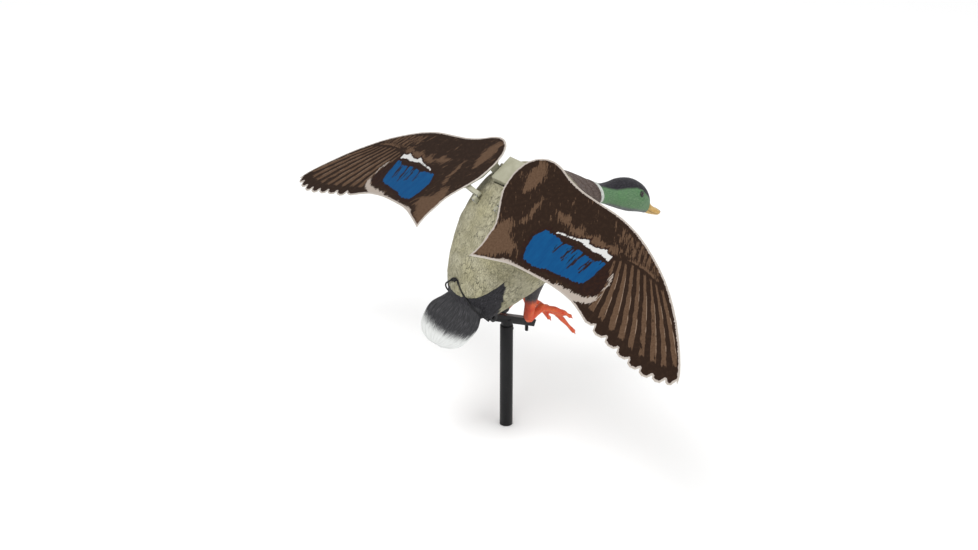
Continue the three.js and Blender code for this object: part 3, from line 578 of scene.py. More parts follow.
def plumage(place, turn, girth, pitch, columns):
    """Overlapping feathers with round tips, each row lying over the row behind it.

    Gives each point a height from 0 to 1, how near it is to an overlying feather's edge from
    0 to 1, and its place across and along its own feather in millimetres.
    """
    row = place / pitch
    seat = turn / (2 * math.pi) * columns
    height, across, along = (np.zeros_like(place) for _ in range(3))
    found = np.zeros(len(place), bool)
    gap = np.full(len(place), 1e9)
    for step in (1, 0, -1, -2, -3):
        line = np.floor(row) + step
        shift = 0.5 * (line % 2)
        column = np.round(seat - shift)
        luck = scatter(line, column % columns)
        other = scatter(line + 31, column % columns)
        behind = place - (line + 0.35 * (luck - 0.5)) * pitch
        width = girth / columns
        side = (seat - column - shift + 0.22 * (other - 0.5)) * width
        width = width * 0.6
        bluff = 0.8 * pitch
        oval = np.hypot(np.clip((bluff - behind) / bluff, 0, None), side / width)
        inside = (1 - oval) * np.minimum(width, bluff)
        covers = (inside > 0) & ~found
        rise = 1 - behind / (FEATHER_LAP * pitch) - 0.3 * (side / width) ** 2
        height = np.where(covers, rise, height)
        across = np.where(covers, side + 40 * luck, across)
        along = np.where(covers, behind + 90 * other, along)
        found |= covers
        gap = np.where(~found, np.minimum(gap, -inside), gap)
    return height, np.exp(-np.clip(gap, 0, None) / 1.1), across, along


# ---------------------------------------------------------------- body

AXIS_POINT = (-10.0, 324.0)
AXIS_PITCH = math.radians(46)
PARTING_POINT = Vector((0, -96.5, 272))
PARTING_PITCH = math.radians(47)
FLAPPER_PITCH = math.radians(33.5)
FLAPPER_ORIGIN = np.array([0, -41, 448.4])
WING_DROOP = math.radians(10.3)


def on_axis(along, off):
    """Where a place along and off the body's axis is, in y and z."""
    y, z = rotated(along, off, AXIS_PITCH)
    return (AXIS_POINT[0] + y, AXIS_POINT[1] + z)


def axis_station(along, top, low, half):
    """A section square to the body's axis."""
    return (on_axis(along, top), on_axis(along, low), half)


# Sections, each with its highest point, its lowest point (both y, z) and half its width.
BODY = [
    axis_station(-112, 16, -32, 34),
    axis_station(-104, 23, -40, 47),
    axis_station(-85, 39, -50, 61),
    axis_station(-55, 56, -65, 77),
    axis_station(-20, 70, -80, 90),
    axis_station(20, 82, -88, 98),
    axis_station(60, 85, -90, 100),
    ((9, 454), (113, 314), 95),
    ((54, 458), (132, 331), 79),
    ((96, 444), (149, 343), 58),
    ((132, 427), (165, 351), 37),
    ((161, 410), (178, 355.5), 26),
    ((187, 395), (191, 358), 19.5),
]
TAIL = [
    axis_station(-186, 14, 11, 17),
    axis_station(-179, 15, 10, 40),
    axis_station(-167, 15.5, 9, 55),
    axis_station(-150, 16, 8, 62),
    axis_station(-130, 17, 5, 62.5),
    axis_station(-110, 18, -2, 50),
    axis_station(-92, 20, -10, 40),
]
SHELL = 2.2
FLANK_HOLLOW = 4.8
COLLAR_WIDTH = 5.5
COVER_PROUD = 0.7
RUMP_EDGE_Y = -61.0
BREAST_Y = 106.0
COVER_RUMP = -60.0
FAR_FROM_CORD = 12.0
PARTING_GAP = 0.5
# The housing's seat, and the wells that the hubs turn in: half width, back, front and floor.
OPENINGS = ((21.5, 18.8, 68.0, -70.0), (37.0, 27.5, 55.5, -36.0))


def to_flapper(points):
    """Points in the flapper's frame: y along the hinge pins, z away from the back."""
    x, y, z = np.moveaxis(np.asarray(points) - FLAPPER_ORIGIN, -1, 0)
    return np.stack([x, *rotated(y, z, -FLAPPER_PITCH)], -1)


def from_flapper(points):
    x, y, z = np.moveaxis(np.asarray(points, float), -1, 0)
    return np.stack([x, *rotated(y, z, FLAPPER_PITCH)], -1) + FLAPPER_ORIGIN


def near_cord(points):
    """Distance to the elastic cord's surface, in millimetres, up to FAR_FROM_CORD."""
    mesh = NODES["elastic_cord"].data
    faces = [face.vertices[:] for face in mesh.polygons]
    tree = BVHTree.FromPolygons([v.co for v in mesh.vertices], faces)
    found = (tree.find_nearest(Vector(p) * MM, FAR_FROM_CORD * MM)[3] for p in points)
    return np.array([FAR_FROM_CORD if d is None else d / MM for d in found])


def under_clips(points):
    """1 where the wing clips come down close to the back, falling to 0 round it."""
    x, y, _ = np.moveaxis(to_flapper(points), -1, 0)
    x = np.abs(x)
    sides = np.clip((95 - x) / 14, 0, 1)
    ends = np.clip((y + 40) / 12, 0, 1) * np.clip((82 - y) / 12, 0, 1)
    return sides * ends


def body_skin():
    """The whole body's outer skin, with its feathers, before it is parted."""
    form = Form(BODY, rings=300, sides=400)
    warp = noise_at(form.points, 22.0)
    twist = noise_at(form.points, 17.0, 5.0)
    height, crease, across, along = plumage(
        form.place + 8.0 * warp, form.turn + 0.09 * twist, form.girth, pitch=17.0, columns=30
    )
    lumps = noise_at(form.points, 60.0, 9.0)
    flat_patches = 0.35 + 0.65 * np.clip(0.5 + 1.6 * noise_at(form.points, 45.0, 12.0), 0, 1)
    form.relief = (1.7 * (height - 0.55) - 0.35 * crease) * flat_patches + 0.5 * lumps
    lean = (np.degrees(form.turn) - 270) / 48
    flank = np.exp(-((np.abs(lean) - 1) / 0.62) ** 2)
    form.relief -= FLANK_HOLLOW * flank * np.clip((150 - form.place) / 60, 0, 1)
    swept = under_clips(form.points)
    form.relief = form.relief * (1 - 0.65 * swept) - 0.9 * swept
    close = np.exp(-np.clip(near_cord(form.points), 0, None) ** 2 / 6.0)
    form.relief = form.relief * (1 - close) - 0.8 * close
    form.proud = COVER_PROUD * (1 - close) * (1 - swept)
    form.layers = {
        # crease is where painted shade goes: the overlying feathers' edges, and a band along the elastic
        # cord.
        "crease": np.maximum(crease * flat_patches, 0.7 * close),
        "across": across,
        "along": along,
        "rump": RUMP_EDGE_Y - form.points[:, 1],
        "breast": form.points[:, 1] - BREAST_Y,
        "collar": form.place - form.place.max() + COLLAR_WIDTH,
    }
    return form


def domed_start(form, points, layers, depth, steps=6):
    """Closes the form's first ring with a low dome, and gives the new points and faces."""
    ring = points[:form.sides]
    centre = ring.mean(0)
    outward = unit(centre - points[form.sides:2 * form.sides].mean(0))
    added = []
    for step in range(1, steps + 1):
        angle = step / steps * math.pi / 2
        shrunk = (ring - centre) * max(math.cos(angle), 0.02)
        added.append(centre + shrunk + outward * depth * math.sin(angle))
    starts = [0] + [len(points) + step * form.sides for step in range(steps)]
    rings = [range(start, start + form.sides) for start in starts]
    faces = []
    for a, b in zip(rings, rings[1:]):
        for side in range(form.sides):
            after = (side + 1) % form.sides
            faces.append((a[side], a[after], b[after], b[side]))
    faces.append(tuple(rings[-1]))
    layers = {
        name: np.concatenate([values, *[values[:form.sides]] * steps])
        for name, values in layers.items()
    }
    return (np.concatenate([points, *added]), form.faces + faces), layers


def slice_mesh(obj, planes, keep):
    """Cuts faces along the planes, and keeps the faces whose centre passes the test."""
    work = bmesh.new()
    work.from_mesh(obj.data)
    for near, point, normal in planes:
        chosen = [f for f in work.faces if near(f)]
        parts = chosen + list({e for f in chosen for e in f.edges})
        parts += list({v for f in chosen for v in f.verts})
        bmesh.ops.bisect_plane(work, geom=parts, dist=1e-7, plane_co=Vector(point) * MM, plane_no=normal)
    lost = [f for f in work.faces if not keep(f.calc_center_median() / MM)]
    bmesh.ops.delete(work, geom=lost, context="FACES")
    work.to_mesh(obj.data)
    work.free()


def everywhere(face):
    return True


def parting_side(point):
    """Height above the parting plane, in millimetres."""
    offset = Vector(point) - PARTING_POINT
    return rotated(offset.y, offset.z, -PARTING_PITCH)[1]


def flapper_opening(point):
    """True inside one of the openings."""
    x, y, z = to_flapper(point)
    return any(abs(x) < half and back < y < front and z > floor for half, back, front, floor in OPENINGS)


def by_flapper(face):
    """True for the faces that the openings' edges can cross."""
    x, y, z = to_flapper(face.calc_center_median() / MM)
    return abs(x) < 42 and 14 < y < 73 and z > -70


def opening_planes():
    """The planes of the openings' edges, for slice_mesh."""
    sides = sorted(side * opening[0] for opening in OPENINGS for side in (-1, 1))
    ends = sorted(end for opening in OPENINGS for end in opening[1:3])
    planes = [((x, 0, 0), (1, 0, 0)) for x in sides]
    planes += [(from_flapper((0, y, 0)), (0, *rotated(1, 0, FLAPPER_PITCH))) for y in ends]
    planes.append((from_flapper((0, 0, OPENINGS[1][3])), (0, *rotated(0, 1, FLAPPER_PITCH))))
    return [(by_flapper, point, normal) for point, normal in planes]


def make_body(material):
    form = body_skin()
    upward = (0, *rotated(0, 1, PARTING_PITCH))
    shape, layers = domed_start(form, form.raised(form.relief), form.layers, depth=7.0)
    lower = make_piece("lower_body_shell", shape, "decoy", "body_shell", [material], ["lower_body"], **layers)
    slice_mesh(lower, [(everywhere, PARTING_POINT, upward)], lambda c: parting_side(c) < 0)

    points = form.raised(form.relief + form.proud)
    layers = {**form.layers, "rump": np.full(len(points), COVER_RUMP)}
    shape = (points, form.faces)
    cover = make_piece("back_cover_shell", shape, "decoy", "body_shell", [material], ["back_cover"], **layers)
    planes = [(everywhere, PARTING_POINT + Vector(upward) * PARTING_GAP, upward)] + opening_planes()
    slice_mesh(cover, planes, lambda c: parting_side(c) > PARTING_GAP and not flapper_opening(c))
    for shell in (lower, cover):
        modifier(shell, "SOLIDIFY", thickness=SHELL * MM, offset=-1.0)


def make_tail(material):
    form = Form(TAIL, rings=150, sides=320)
    blades = 11
    q = np.cos(form.turn)
    upper = np.sin(form.turn) >= 0
    warp = noise_at(form.points, 30.0, 3.0)
    lane = np.abs(q * (1 + 0.03 * warp)) * blades / 2
    part = lane - np.floor(lane)
    edge = np.minimum(part, 1 - part) * form.half / blades * 2
    crease = np.exp(-edge / 0.9)
    lift = np.where(upper, 1 - part, 0.4 * (1 - part))
    fade = np.clip(1 - (form.at - 0.72) / 0.28, 0, 1)
    calm = 0.15 + 0.85 * np.clip(form.at / 0.4, 0, 1)
    relief = (0.5 * lift - 0.3 - 0.25 * crease) * fade * calm
    scallop = 1.8 * (np.abs(part - 0.5) * 2) ** 2.5 * np.clip(1 - form.at / 0.2, 0, 1)
    points = form.raised(relief) + scallop[:, None] * [0, *rotated(1, 0, AXIS_PITCH)]
    outline = form.half.reshape(form.rings, form.sides)[:, 0]
    widest = int(outline.argmax())
    lag = form.place.reshape(form.rings, form.sides)[:, 0]
    start = np.interp(np.abs(points[:, 0]), outline[:widest], lag[:widest])
    band = 21.0 * (1 - (np.abs(points[:, 0]) / 67.0) ** 4)
    make_piece(
        "tail_fan", (points, form.faces + form.caps), "decoy", "body_shell", [material],
        crease=crease * fade, across=q * 62.0, along=form.place, tip=form.place - start - band,
    )


# ---------------------------------------------------------------- head

# Sections as in BODY, from the neck to the bill's tip.
HEAD = [
    ((187.7, 394.7), (191.7, 357.7), 19.4),
    ((203, 388), (203, 353), 19),
    ((222, 386.5), (220, 344), 21),
    ((243, 387.5), (238, 334.5), 24.5),
    ((262, 384), (256, 326.5), 26.5),
    ((279, 376), (272, 321), 26),
    ((293, 364.5), (285, 316.5), 21.5),
    ((302, 352), (296, 312), 16),
    ((306, 338), (302, 309.5), 12.5),
    ((310, 327), (309, 306.5), 11.5),
    ((318, 319), (317, 303.5), 11.8),
    ((327, 312.5), (325, 301), 11.6),
    ((333, 308), (332, 301.5), 8),
    ((335.5, 305.5), (335.2, 303), 3),
]
CROWN_LINE = [
    (180, 394), (191.6, 389), (207, 382.5), (222.5, 377.5), (243, 376), (264, 371.5), (276, 365),
    (283, 357.5), (292, 348), (300, 338), (308, 326),
]
THROAT_LINE = [(188, 356), (209, 355.5), (237, 343), (265, 332.5), (285, 323), (300, 318)]
EYE = np.array([22.5, 271.0, 359.5])
FACE_END = 0.59
FACE_LIP = 0.035
BILL_START = 0.55
BILL_TIP = np.array([0, 333.5, 308.0])
NOSTRIL = np.array([5.0, 313.5, 321.5])
RING_WIDTH = 1.2


def below(line, y):
    ys, zs = zip(*line)
    return np.interp(y, ys, zs)


def folded(points):
    """Points of the left half, moved to their mirror image on the right."""
    return points * np.where(points[:, :1] > 0, 1, [[-1, 1, 1]])


def bump_at(distance, height, centre, width):
    """A soft ridge or groove at that distance."""
    return height * np.exp(-((distance - centre) / width) ** 2)


def make_head(material):
    form = Form(HEAD, rings=260, sides=260, end=FACE_END)
    points = form.points
    place = form.place + 2.0 * noise_at(points, 14.0)
    height, crease, across, along = plumage(place, form.turn, form.girth, pitch=7.0, columns=34)
    relief = 0.4 * (height - 0.5) + 0.5 * noise_at(points, 24.0, 2.0)
    from_eye = np.linalg.norm(folded(points) - EYE, axis=1)
    relief += bump_at(from_eye, 1.0, 7.0, 1.3)
    relief -= bump_at(from_eye, 0.7, 9.5, 1.8)
    relief += bump_at(form.place, 0.7, 0.0, 1.5)
    lip = np.clip((form.at - FACE_END + FACE_LIP) / FACE_LIP, 0, 1)
    relief = relief * (1 - lip) - 6.0 * lip ** 2
    tuck = np.clip(1 - form.place / 0.8, 0, 1)
    outer = form.raised(relief - 1.7 * tuck) - tuck[:, None] * [0, 3.0, -0.4]
    make_piece(
        "head_shell", (outer, form.faces), "decoy", "head_paint", [material], ["head"],
        across=across, along=along, crease=crease,
        crown=points[:, 2] - below(CROWN_LINE, points[:, 1]),
        throat=below(THROAT_LINE, points[:, 1]) - points[:, 2],
        ring=RING_WIDTH + 0.18 * np.sin(form.turn * 3) - form.place,
    )


def make_bill(material):
    form = Form(HEAD, rings=170, sides=132, start=BILL_START, square=2.4)
    form.points[:, 0] *= np.interp(form.at, [BILL_START, 0.6, 0.7], [0.66, 0.72, 1.0])
    points = form.points
    relief = -1.6 * np.clip((0.66 - form.at) / 0.06, 0, 1)
    slit = (np.sin(form.turn) + 0.42) / 0.09
    mouth = np.exp(-slit ** 2)
    relief -= 0.7 * mouth
    from_tip = np.linalg.norm((points - BILL_TIP) * [0.8, 0.62, 1.0], axis=1)
    nail = np.clip((7.6 - from_tip) / 1.2, 0, 1) * np.clip((points[:, 2] - 303.6) / 1.0, 0, 1)
    relief += 0.5 * nail
    from_nostril = np.linalg.norm((folded(points) - NOSTRIL) * [1, 0.45, 0.8], axis=1)
    pit = np.clip((2.0 - from_nostril) / 0.8, 0, 1)
    relief -= 1.2 * pit
    combs = (np.abs(np.sin(form.place * 2.2)) - 0.5) * np.exp(-((slit - 2.2) / 1.6) ** 2)
    relief += 0.25 * combs
    make_piece(
        "bill", (form.raised(relief), form.faces + form.caps), "decoy", "head_paint", [material],
        mouth=mouth, nail=np.maximum(nail, pit),
    )


def make_eyes(glass, lid):
    dome = [(5.1 * math.sin(a), 5.1 * math.cos(a)) for a in np.linspace(0.02, 2.2, 34)]
    rim = [(4.4 + 0.75 * math.cos(a), 3.2 + 0.75 * math.sin(a)) for a in np.linspace(0, 2 * math.pi, 17)]
    for name, side in SIDES:
        centre = EYE * [side, 1, 1]
        facing = (side * 0.93, 0.3, 0.12)
        ball = lathe(centre, facing, dome, sides=56)
        make_piece(f"glass_eye_{name}", ball, "decoy", "eye", [glass], [f"eye_{name}"])
        eyelid = lathe(centre, facing, rim, sides=64, open_ends=True)
        make_piece(f"eyelid_{name}", eyelid, "decoy", "head_paint", [lid])


def lathe(centre, axis, profile, sides, knurl=None, open_ends=False):
    """Turns (radius, distance along the axis) pairs round an axis. knurl adds to the radius."""
    axis = unit(np.asarray(axis, float))
    first = unit(np.cross(axis, ODD_WAY))
    second = np.cross(axis, first)
    points = []
    for ring, (radius, along) in enumerate(profile):
        for angle in np.linspace(0, 2 * math.pi, sides, endpoint=False):
            reach = radius + (knurl(ring, angle) if knurl else 0.0)
            spoke = first * math.cos(angle) + second * math.sin(angle)
            points.append(centre + axis * along + reach * spoke)
    make_faces = grid_faces if open_ends else closed_faces
    return np.array(points), make_faces(len(profile), sides)


def sweep(centres, radii, sides, relief=None):
    """A tube round a line of centres. relief adds to a ring's radii, from its number and angles."""
    centres = np.asarray(centres, float)
    ahead = unit(np.gradient(centres, axis=0))
    first = np.cross(ahead[0], ODD_WAY)
    turn = np.linspace(0, 2 * math.pi, sides, endpoint=False)
    radii = np.broadcast_to(radii, len(centres))
    points = []
    for ring, (centre, way, radius) in enumerate(zip(centres, ahead, radii)):
        first = unit(first - way * (first @ way))
        second = np.cross(way, first)
        reach = np.full(sides, radius) + (relief(ring, turn) if relief else 0.0)
        circle = np.cos(turn)[:, None] * first + np.sin(turn)[:, None] * second
        points.append(centre + reach[:, None] * circle)
    return np.concatenate(points), closed_faces(len(centres), sides)


def joined(*parts):
    points, faces = [], []
    for part_points, part_faces in parts:
        start = sum(len(p) for p in points)
        points.append(np.asarray(part_points))
        faces += [tuple(i + start for i in face) for face in part_faces]
    return np.concatenate(points), faces


def mirrored(faces, side):
    """The faces, turned round on the left, so that a mirrored piece isn't inside out."""
    return faces if side > 0 else [face[::-1] for face in faces]


# ---------------------------------------------------------------- legs

SHANK = (
    [(28, 47, 296), (30, 37, 272), (30, 30, 250), (30, 25, 225), (30, 22, 208), (30, 24, 199)],
    [17, 16.4, 12.4, 9.2, 8.3, 5],
)
TARSUS = ([(30, 22, 202), (30, 37, 210), (30, 54, 218)], [7, 6.6, 7.8])
TOES = [
    [(29, 50, 217), (16, 78, 200), (15, 98, 180)],
    [(30, 50, 217), (31, 80, 196), (32, 120, 150)],
    [(31, 50, 217), (44, 78, 206), (46, 100, 190)],
]
SPUR = [(30, 60, 216), (29, 63, 202), (28, 66, 188)]
# The shank's middle: heights, and its y at each.
SHANK_MIDDLE = ([199, 208, 225, 250, 272], [24, 22, 25, 30, 36])
THIGH_END_Z = 236.0
REMESH_SIZE = 0.95


def limb(knots, radii, rings=26, sides=20):
    at = np.linspace(0, 1, rings)
    return sweep(spline(knots, at), spline(np.asarray(radii, float)[:, None], at)[:, 0], sides)


def toe(knots):
    """A jointed toe: thick at each joint, with a claw that curves down."""
    at = np.linspace(0, 1, 40)
    line = spline(knots, at)
    radii = 5.6 - 2.6 * at + 0.55 * np.cos(at * 6 * math.pi)
    way = unit(line[-1] - line[-4])
    out = np.linspace(0, 1, 9)[:, None]
    claw = line[-1] + way * (out * 7 - 1) + out ** 2 * [0, 0, -2.6]
    return joined(sweep(line, radii, sides=18), sweep(claw, np.linspace(2.5, 0.5, 9), sides=12))


def web(near, far):
    """The skin between two toes, with a hollowed front edge and a few ribs."""
    rings = []
    along = np.linspace(0, 1, 22)
    for v in np.linspace(0, 1, 22):
        end = 0.86 - 0.24 * math.sin(math.pi * v)
        a, b = spline(near, along * end), spline(far, along * end)
        line = a * (1 - v) + b * v
        line[:, 2] -= 3.2 * math.sin(math.pi * v) * along
        thick = 1.15 + 0.45 * math.cos(v * 6 * math.pi)
        rings.append(np.concatenate([line + [0, 0, thick], line[::-1] - [0, 0, thick]]))
    sides = len(rings[0])
    return np.concatenate(rings), closed_faces(len(rings), sides)


def make_legs(material):
    spur = sweep(spline(SPUR, np.linspace(0, 1, 14)), np.linspace(4.2, 1.4, 14), sides=14)
    toes = [toe(knots) for knots in TOES]
    webs = [web(near, far) for near, far in zip(TOES, TOES[1:])]
    points, faces = joined(limb(*SHANK), limb(*TARSUS), *toes, *webs, spur)
    for name, side in SIDES:
        shape = (points * [side, 1, 1], mirrored(faces, side))
        obj = make_piece(f"foot_{name}", shape, "decoy", "leg_paint", [material], [f"leg_{name}"])
        modifier(obj, "REMESH", mode="VOXEL", voxel_size=REMESH_SIZE * MM, use_smooth_shade=True)
        modifier(obj, "SMOOTH", factor=0.5, iterations=5)
        apply_modifiers(obj)
        x, y, z = np.array([v.co for v in obj.data.vertices]).T / MM
        behind = np.where(z > 204, 1.0, -0.6) * (np.interp(z, *SHANK_MIDDLE) - y)
        behind -= 0.625 * np.abs(np.abs(x) - 30)
        add_layers(obj.data, {"shade": np.where(y < 46, behind, -9.0), "thigh": z - THIGH_END_Z})


# ---------------------------------------------------------------- wings

TAN_PATCHES = [
    [(52, 85), (70, 75), (78, 50), (78, 38), (72, 30), (65, 18), (52, 40), (48, 60)],
    [(73, -35), (82, -28), (97, -35), (100, -50), (112, -55), (127, -62), (125, -75), (112, -85),
     (105, -97), (90, -103), (72, -112), (68, -60), (70, -50)],
    [(100, -20), (104, -24), (108, -18), (107, 10), (104, 30), (100, 20)],
    [(140, 20), (155, 24), (168, 22), (180, 10), (200, 18), (210, 12), (230, 20), (250, 15),
     (270, 22), (275, 10), (262, 5), (240, 5), (215, 3), (190, 2), (170, 8), (155, 10), (145, 14)],
    [(300, 15), (330, 16), (360, 10), (362, 4), (330, 8), (300, 8)],
]
WHITE_PATCH = [
    (163, -10), (172, -5), (185, -4), (200, -1), (212, 4), (220, 8), (224, 2), (235, 2), (247, 5),
    (255, 8), (265, 4), (272, 4), (272, -6), (262, -4), (250, -3), (238, -5), (225, -4), (210, -2),
]
BLUE_PATCH = [
    (137, -35), (143, -20), (150, -14), (175, -15), (188, -19), (200, -15), (225, -15), (250, -18),
    (262, -11), (272, -12), (270, -25), (268, -45), (262, -58), (250, -62), (235, -63), (215, -66),
    (195, -68), (182, -75), (165, -74), (150, -72), (143, -58),
]
DARK_PATCH = [(262, -5), (288, -20), (297, -35), (300, -55), (296, -68), (262, -75)]
DARK_STROKES = [(188, 1.1), (207, 1.2), (212, 1.4), (228, 2.0), (245, 1.2), (250, 1.6)]
PALE_PATCHES = [
    [(70, -117), (104, -105), (125, -88), (262, -80), (262, -92), (225, -90), (180, -92),
     (104, -108)],
    [(225, -79), (262, -77), (285, -73), (297, -64), (303, -68), (293, -81), (270, -88), (225, -90)],
]
PALE_LINE = [(298, -70), (301, -55), (298, -35), (295, -20)]
BLADE_ROOTS = [
    (372, 2), (358, 6), (345, 9), (332, 11), (319, 12), (307, 12), (296, 11), (286, 9), (278, 5),
    (272, -2),
]
BLADE_TIPS = [
    (497, -108), (483, -118), (465, -124), (441, -127), (417, -125), (392, -120), (366, -115),
    (338, -110), (312, -103), (285, -93),
]
BLADE_BOW = 4.0
# How far, in blades, the first and last blade reach past their middles.
OUTER_LANE = 0.45
FAN_EDGE = [(268, -90), (283, -130), (400, -180), (560, -120), (400, 12)]
WING_HALF = 0.8
WING_STEP = 2.1
RIM_STEPS = ((0.0, 0.0), (0.25, 0.55), (0.8, 0.8))


def to_wing(points):
    """Points in the right wing's own frame: span, chord and height off its middle."""
    x, chord, z = np.moveaxis(to_flapper(points), -1, 0)
    span, height = rotated(x, z, WING_DROOP)
    return np.stack([span, chord, height], -1)


def from_wing(points, side):
    """Where points of the right wing, or their mirror images, are on the object."""
    span, chord, height = np.moveaxis(np.asarray(points), -1, 0)
    x, z = rotated(span, height, -WING_DROOP)
    return from_flapper(np.stack([side * x, chord, z], -1))


def wing_outline():
    """The loop round the top of the CAD's right wing panel, with a point at least every 1.5 mm."""
    mesh = NODES["wing_panel_right"].data
    flat = to_wing(np.array([v.co for v in mesh.vertices]) / MM)
    follows = {}
    for polygon in mesh.polygons:
        corners = [tuple(np.round(flat[i], 2)) for i in polygon.vertices]
        if min(corner[2] for corner in corners) > 0:
            for a, b in zip(corners, corners[1:] + corners[:1]):
                follows[a, b] = True
    after = {a: b for a, b in follows if (b, a) not in follows}
    start = min(after)
    loop, here = [start[:2]], after[start]
    while here != start:
        loop.append(here[:2])
        here = after[here]
    dense = []
    for a, b in zip(loop, loop[1:] + loop[:1]):
        a, b = np.array(a), np.array(b)
        count = max(1, math.ceil(np.linalg.norm(b - a) / 1.5))
        dense += [a + (b - a) * i / count for i in range(count)]
    return np.array(dense)


def edge_distance(points, line, closed=True):
    """Distance to a line's nearest edge. For a closed line it is negative outside."""
    a = np.asarray(line, float)
    b = np.roll(a, -1, 0) if closed else a[1:]
    best = np.full(len(points), 1e9)
    odd = np.zeros(len(points), bool)
    for start, end in zip(a, b):
        edge = end - start
        away = points - start
        share = np.clip(away @ edge / (edge @ edge), 0, 1)
        best = np.minimum(best, np.linalg.norm(away - share[:, None] * edge, axis=1))
        crosses = (start[1] > points[:, 1]) != (end[1] > points[:, 1])
        rise = edge[1] if edge[1] else 1e-9
        odd ^= crosses & (points[:, 0] < start[0] + (points[:, 1] - start[1]) / rise * edge[0])
    return np.where(odd, best, -best) if closed else best


def inset(loop, amount):
    ahead = np.roll(loop, -1, 0) - np.roll(loop, 1, 0)
    ahead /= np.linalg.norm(ahead, axis=1, keepdims=True)
    return loop + np.stack([-ahead[:, 1], ahead[:, 0]], -1) * amount


def blade_places(points):
    """Each point's place among the long outer feathers: the blade's number, and how far along."""
    lateral, reach = [], []
    for root, tip in zip(BLADE_ROOTS, BLADE_TIPS):
        away = points - root
        whole = np.subtract(tip, root)
        way = unit(whole)
        share = away @ way / np.linalg.norm(whole)
        bow = BLADE_BOW * np.sin(np.clip(share, 0, 1) * math.pi)
        lateral.append(away @ [-way[1], way[0]] - bow)
        reach.append(share)
    last = len(BLADE_ROOTS) - 1
    before = lateral[0] >= 0
    lane = np.where(before, -lateral[0] / 14.0, last + OUTER_LANE)
    along = np.where(before, reach[0], reach[-1])
    for number in range(last):
        a, b = lateral[number], lateral[number + 1]
        between = (a < 0) & (b >= 0)
        share = a / np.where(between, a - b, 1.0)
        lane = np.where(between, number + share, lane)
        blend = reach[number] * (1 - share) + reach[number + 1] * share
        along = np.where(between, blend, along)
    return np.clip(lane, -OUTER_LANE, last + OUTER_LANE), along


def wing_print(flat, outline):
    """The signed distances, in millimetres, that the printed pattern is drawn from."""

    def inside(*patches):
        return np.max([edge_distance(flat, patch) for patch in patches], axis=0)

    def beside(line):
        return edge_distance(flat, line, closed=False)

    tan, white, blue, pale = (
        inside(*patches) for patches in (TAN_PATCHES, [WHITE_PATCH], [BLUE_PATCH], PALE_PATCHES)
    )
    border = np.maximum(blue + 7.0, white + 3.0)
    border = np.maximum(border, inside(DARK_PATCH))
    for number in range(9):
        span = 262 + 11.0 * number
        streak = [(span - 5, 48 - 2.2 * number), (span + 4, 20 - 0.5 * number)]
        tan = np.maximum(tan, 2.0 - beside(streak))
    for span, half in DARK_STROKES:
        stroke = beside([(span + 3, -8), (span - 4, -30 - 9 * half)]) - half
        white = np.minimum(white, stroke)
        blue = np.minimum(blue, stroke)
    pale = np.maximum(pale, 1.3 - beside(PALE_LINE))
    fan = inside(BLADE_ROOTS + FAN_EDGE)
    lane, reach = blade_places(flat)
    return {
        "wide": flat[:, 0], "deep": flat[:, 1], "tan": tan, "quiet": np.maximum(fan, border),
        "lane": lane, "reach": reach, "fan": fan, "border": border, "white": white, "blue": blue,
        "pale": pale, "rim": edge_distance(flat, outline),
    }


def wing_sheet(outline):
    """The right wing's points and faces in its own frame, and how many faces are its printed top."""
    rings = [inset(outline, amount) for amount, _ in RIM_STEPS]
    low, high = outline.min(0), outline.max(0)
    grid = np.array([
        (span + (row % 2) * WING_STEP / 2, chord)
        for row, chord in enumerate(np.arange(low[1], high[1], WING_STEP * 0.87))
        for span in np.arange(low[0], high[0], WING_STEP)
    ])
    grid = grid[edge_distance(grid, outline) > 2.0]
    edge_count = len(outline)
    inner = [Vector(p) for p in np.concatenate([rings[-1], grid])]
    made = geometry.delaunay_2d_cdt(inner, [], [list(range(edge_count))], 1, 1e-5)
    flat = np.array([tuple(p) for p in made[0]])
    top = [tuple(face) for face in made[2]]
    edge = [int(np.argmin(np.sum((flat - p) ** 2, axis=1))) for p in rings[-1]]

    # The top and the underside first, then the rim's rings from the top edge to the bottom one.
    count = len(flat)
    places = [(x, y, height) for height in (WING_HALF, -WING_HALF) for x, y in flat]
    levels = [(ring, height) for ring, (_, height) in zip(rings, RIM_STEPS)]
    between = levels[-2::-1] + [(ring, -height) for ring, height in levels[1:-1]]
    loops = [edge]
    for ring, height in between:
        loops.append(range(len(places), len(places) + edge_count))
        places += [(x, y, height) for x, y in ring]
    loops.append([i + count for i in edge])
    faces = top + [tuple(i + count for i in reversed(face)) for face in top]
    for a, b in zip(loops, loops[1:]):
        for i in range(edge_count):
            j = (i + 1) % edge_count
            faces.append((a[j], a[i], b[i], b[j]))
    return np.array(places), faces, len(top)


def make_wings(print_look, lining):
    outline = wing_outline()
    after = np.roll(outline, -1, 0)
    if np.sum(outline[:, 0] * after[:, 1] - outline[:, 1] * after[:, 0]) < 0:
        outline = outline[::-1]
    places, faces, top_count = wing_sheet(outline)
    layers = wing_print(places[:, :2], outline)
    at = places * [1, 1, 0]
    sway = 0.45 * noise_at(at, 70.0, 4.0) + 0.12 * noise_at(at, 14.0, 8.0)
    groove = np.abs(layers["lane"] + 0.5 - np.round(layers["lane"] + 0.5))
    pressed = np.exp(-(groove / 0.08) ** 2) * np.clip(layers["fan"] / 6, 0, 1)
    free = np.clip((places[:, 0] - 110) / 60, 0, 1)
    places[:, 2] += sway * free - 0.25 * pressed
    for name, side in SIDES:
        obj = make_piece(
            f"wing_sheet_{name}", (from_wing(places, side), mirrored(faces, side)), f"wing_{name}",
            "wing_print", [print_look, lining], [f"wing_panel_{name}"], **layers,
        )
        under = np.arange(len(faces)) >= top_count
        obj.data.polygons.foreach_set("material_index", under.astype(np.int32))


# ---------------------------------------------------------------- hardware

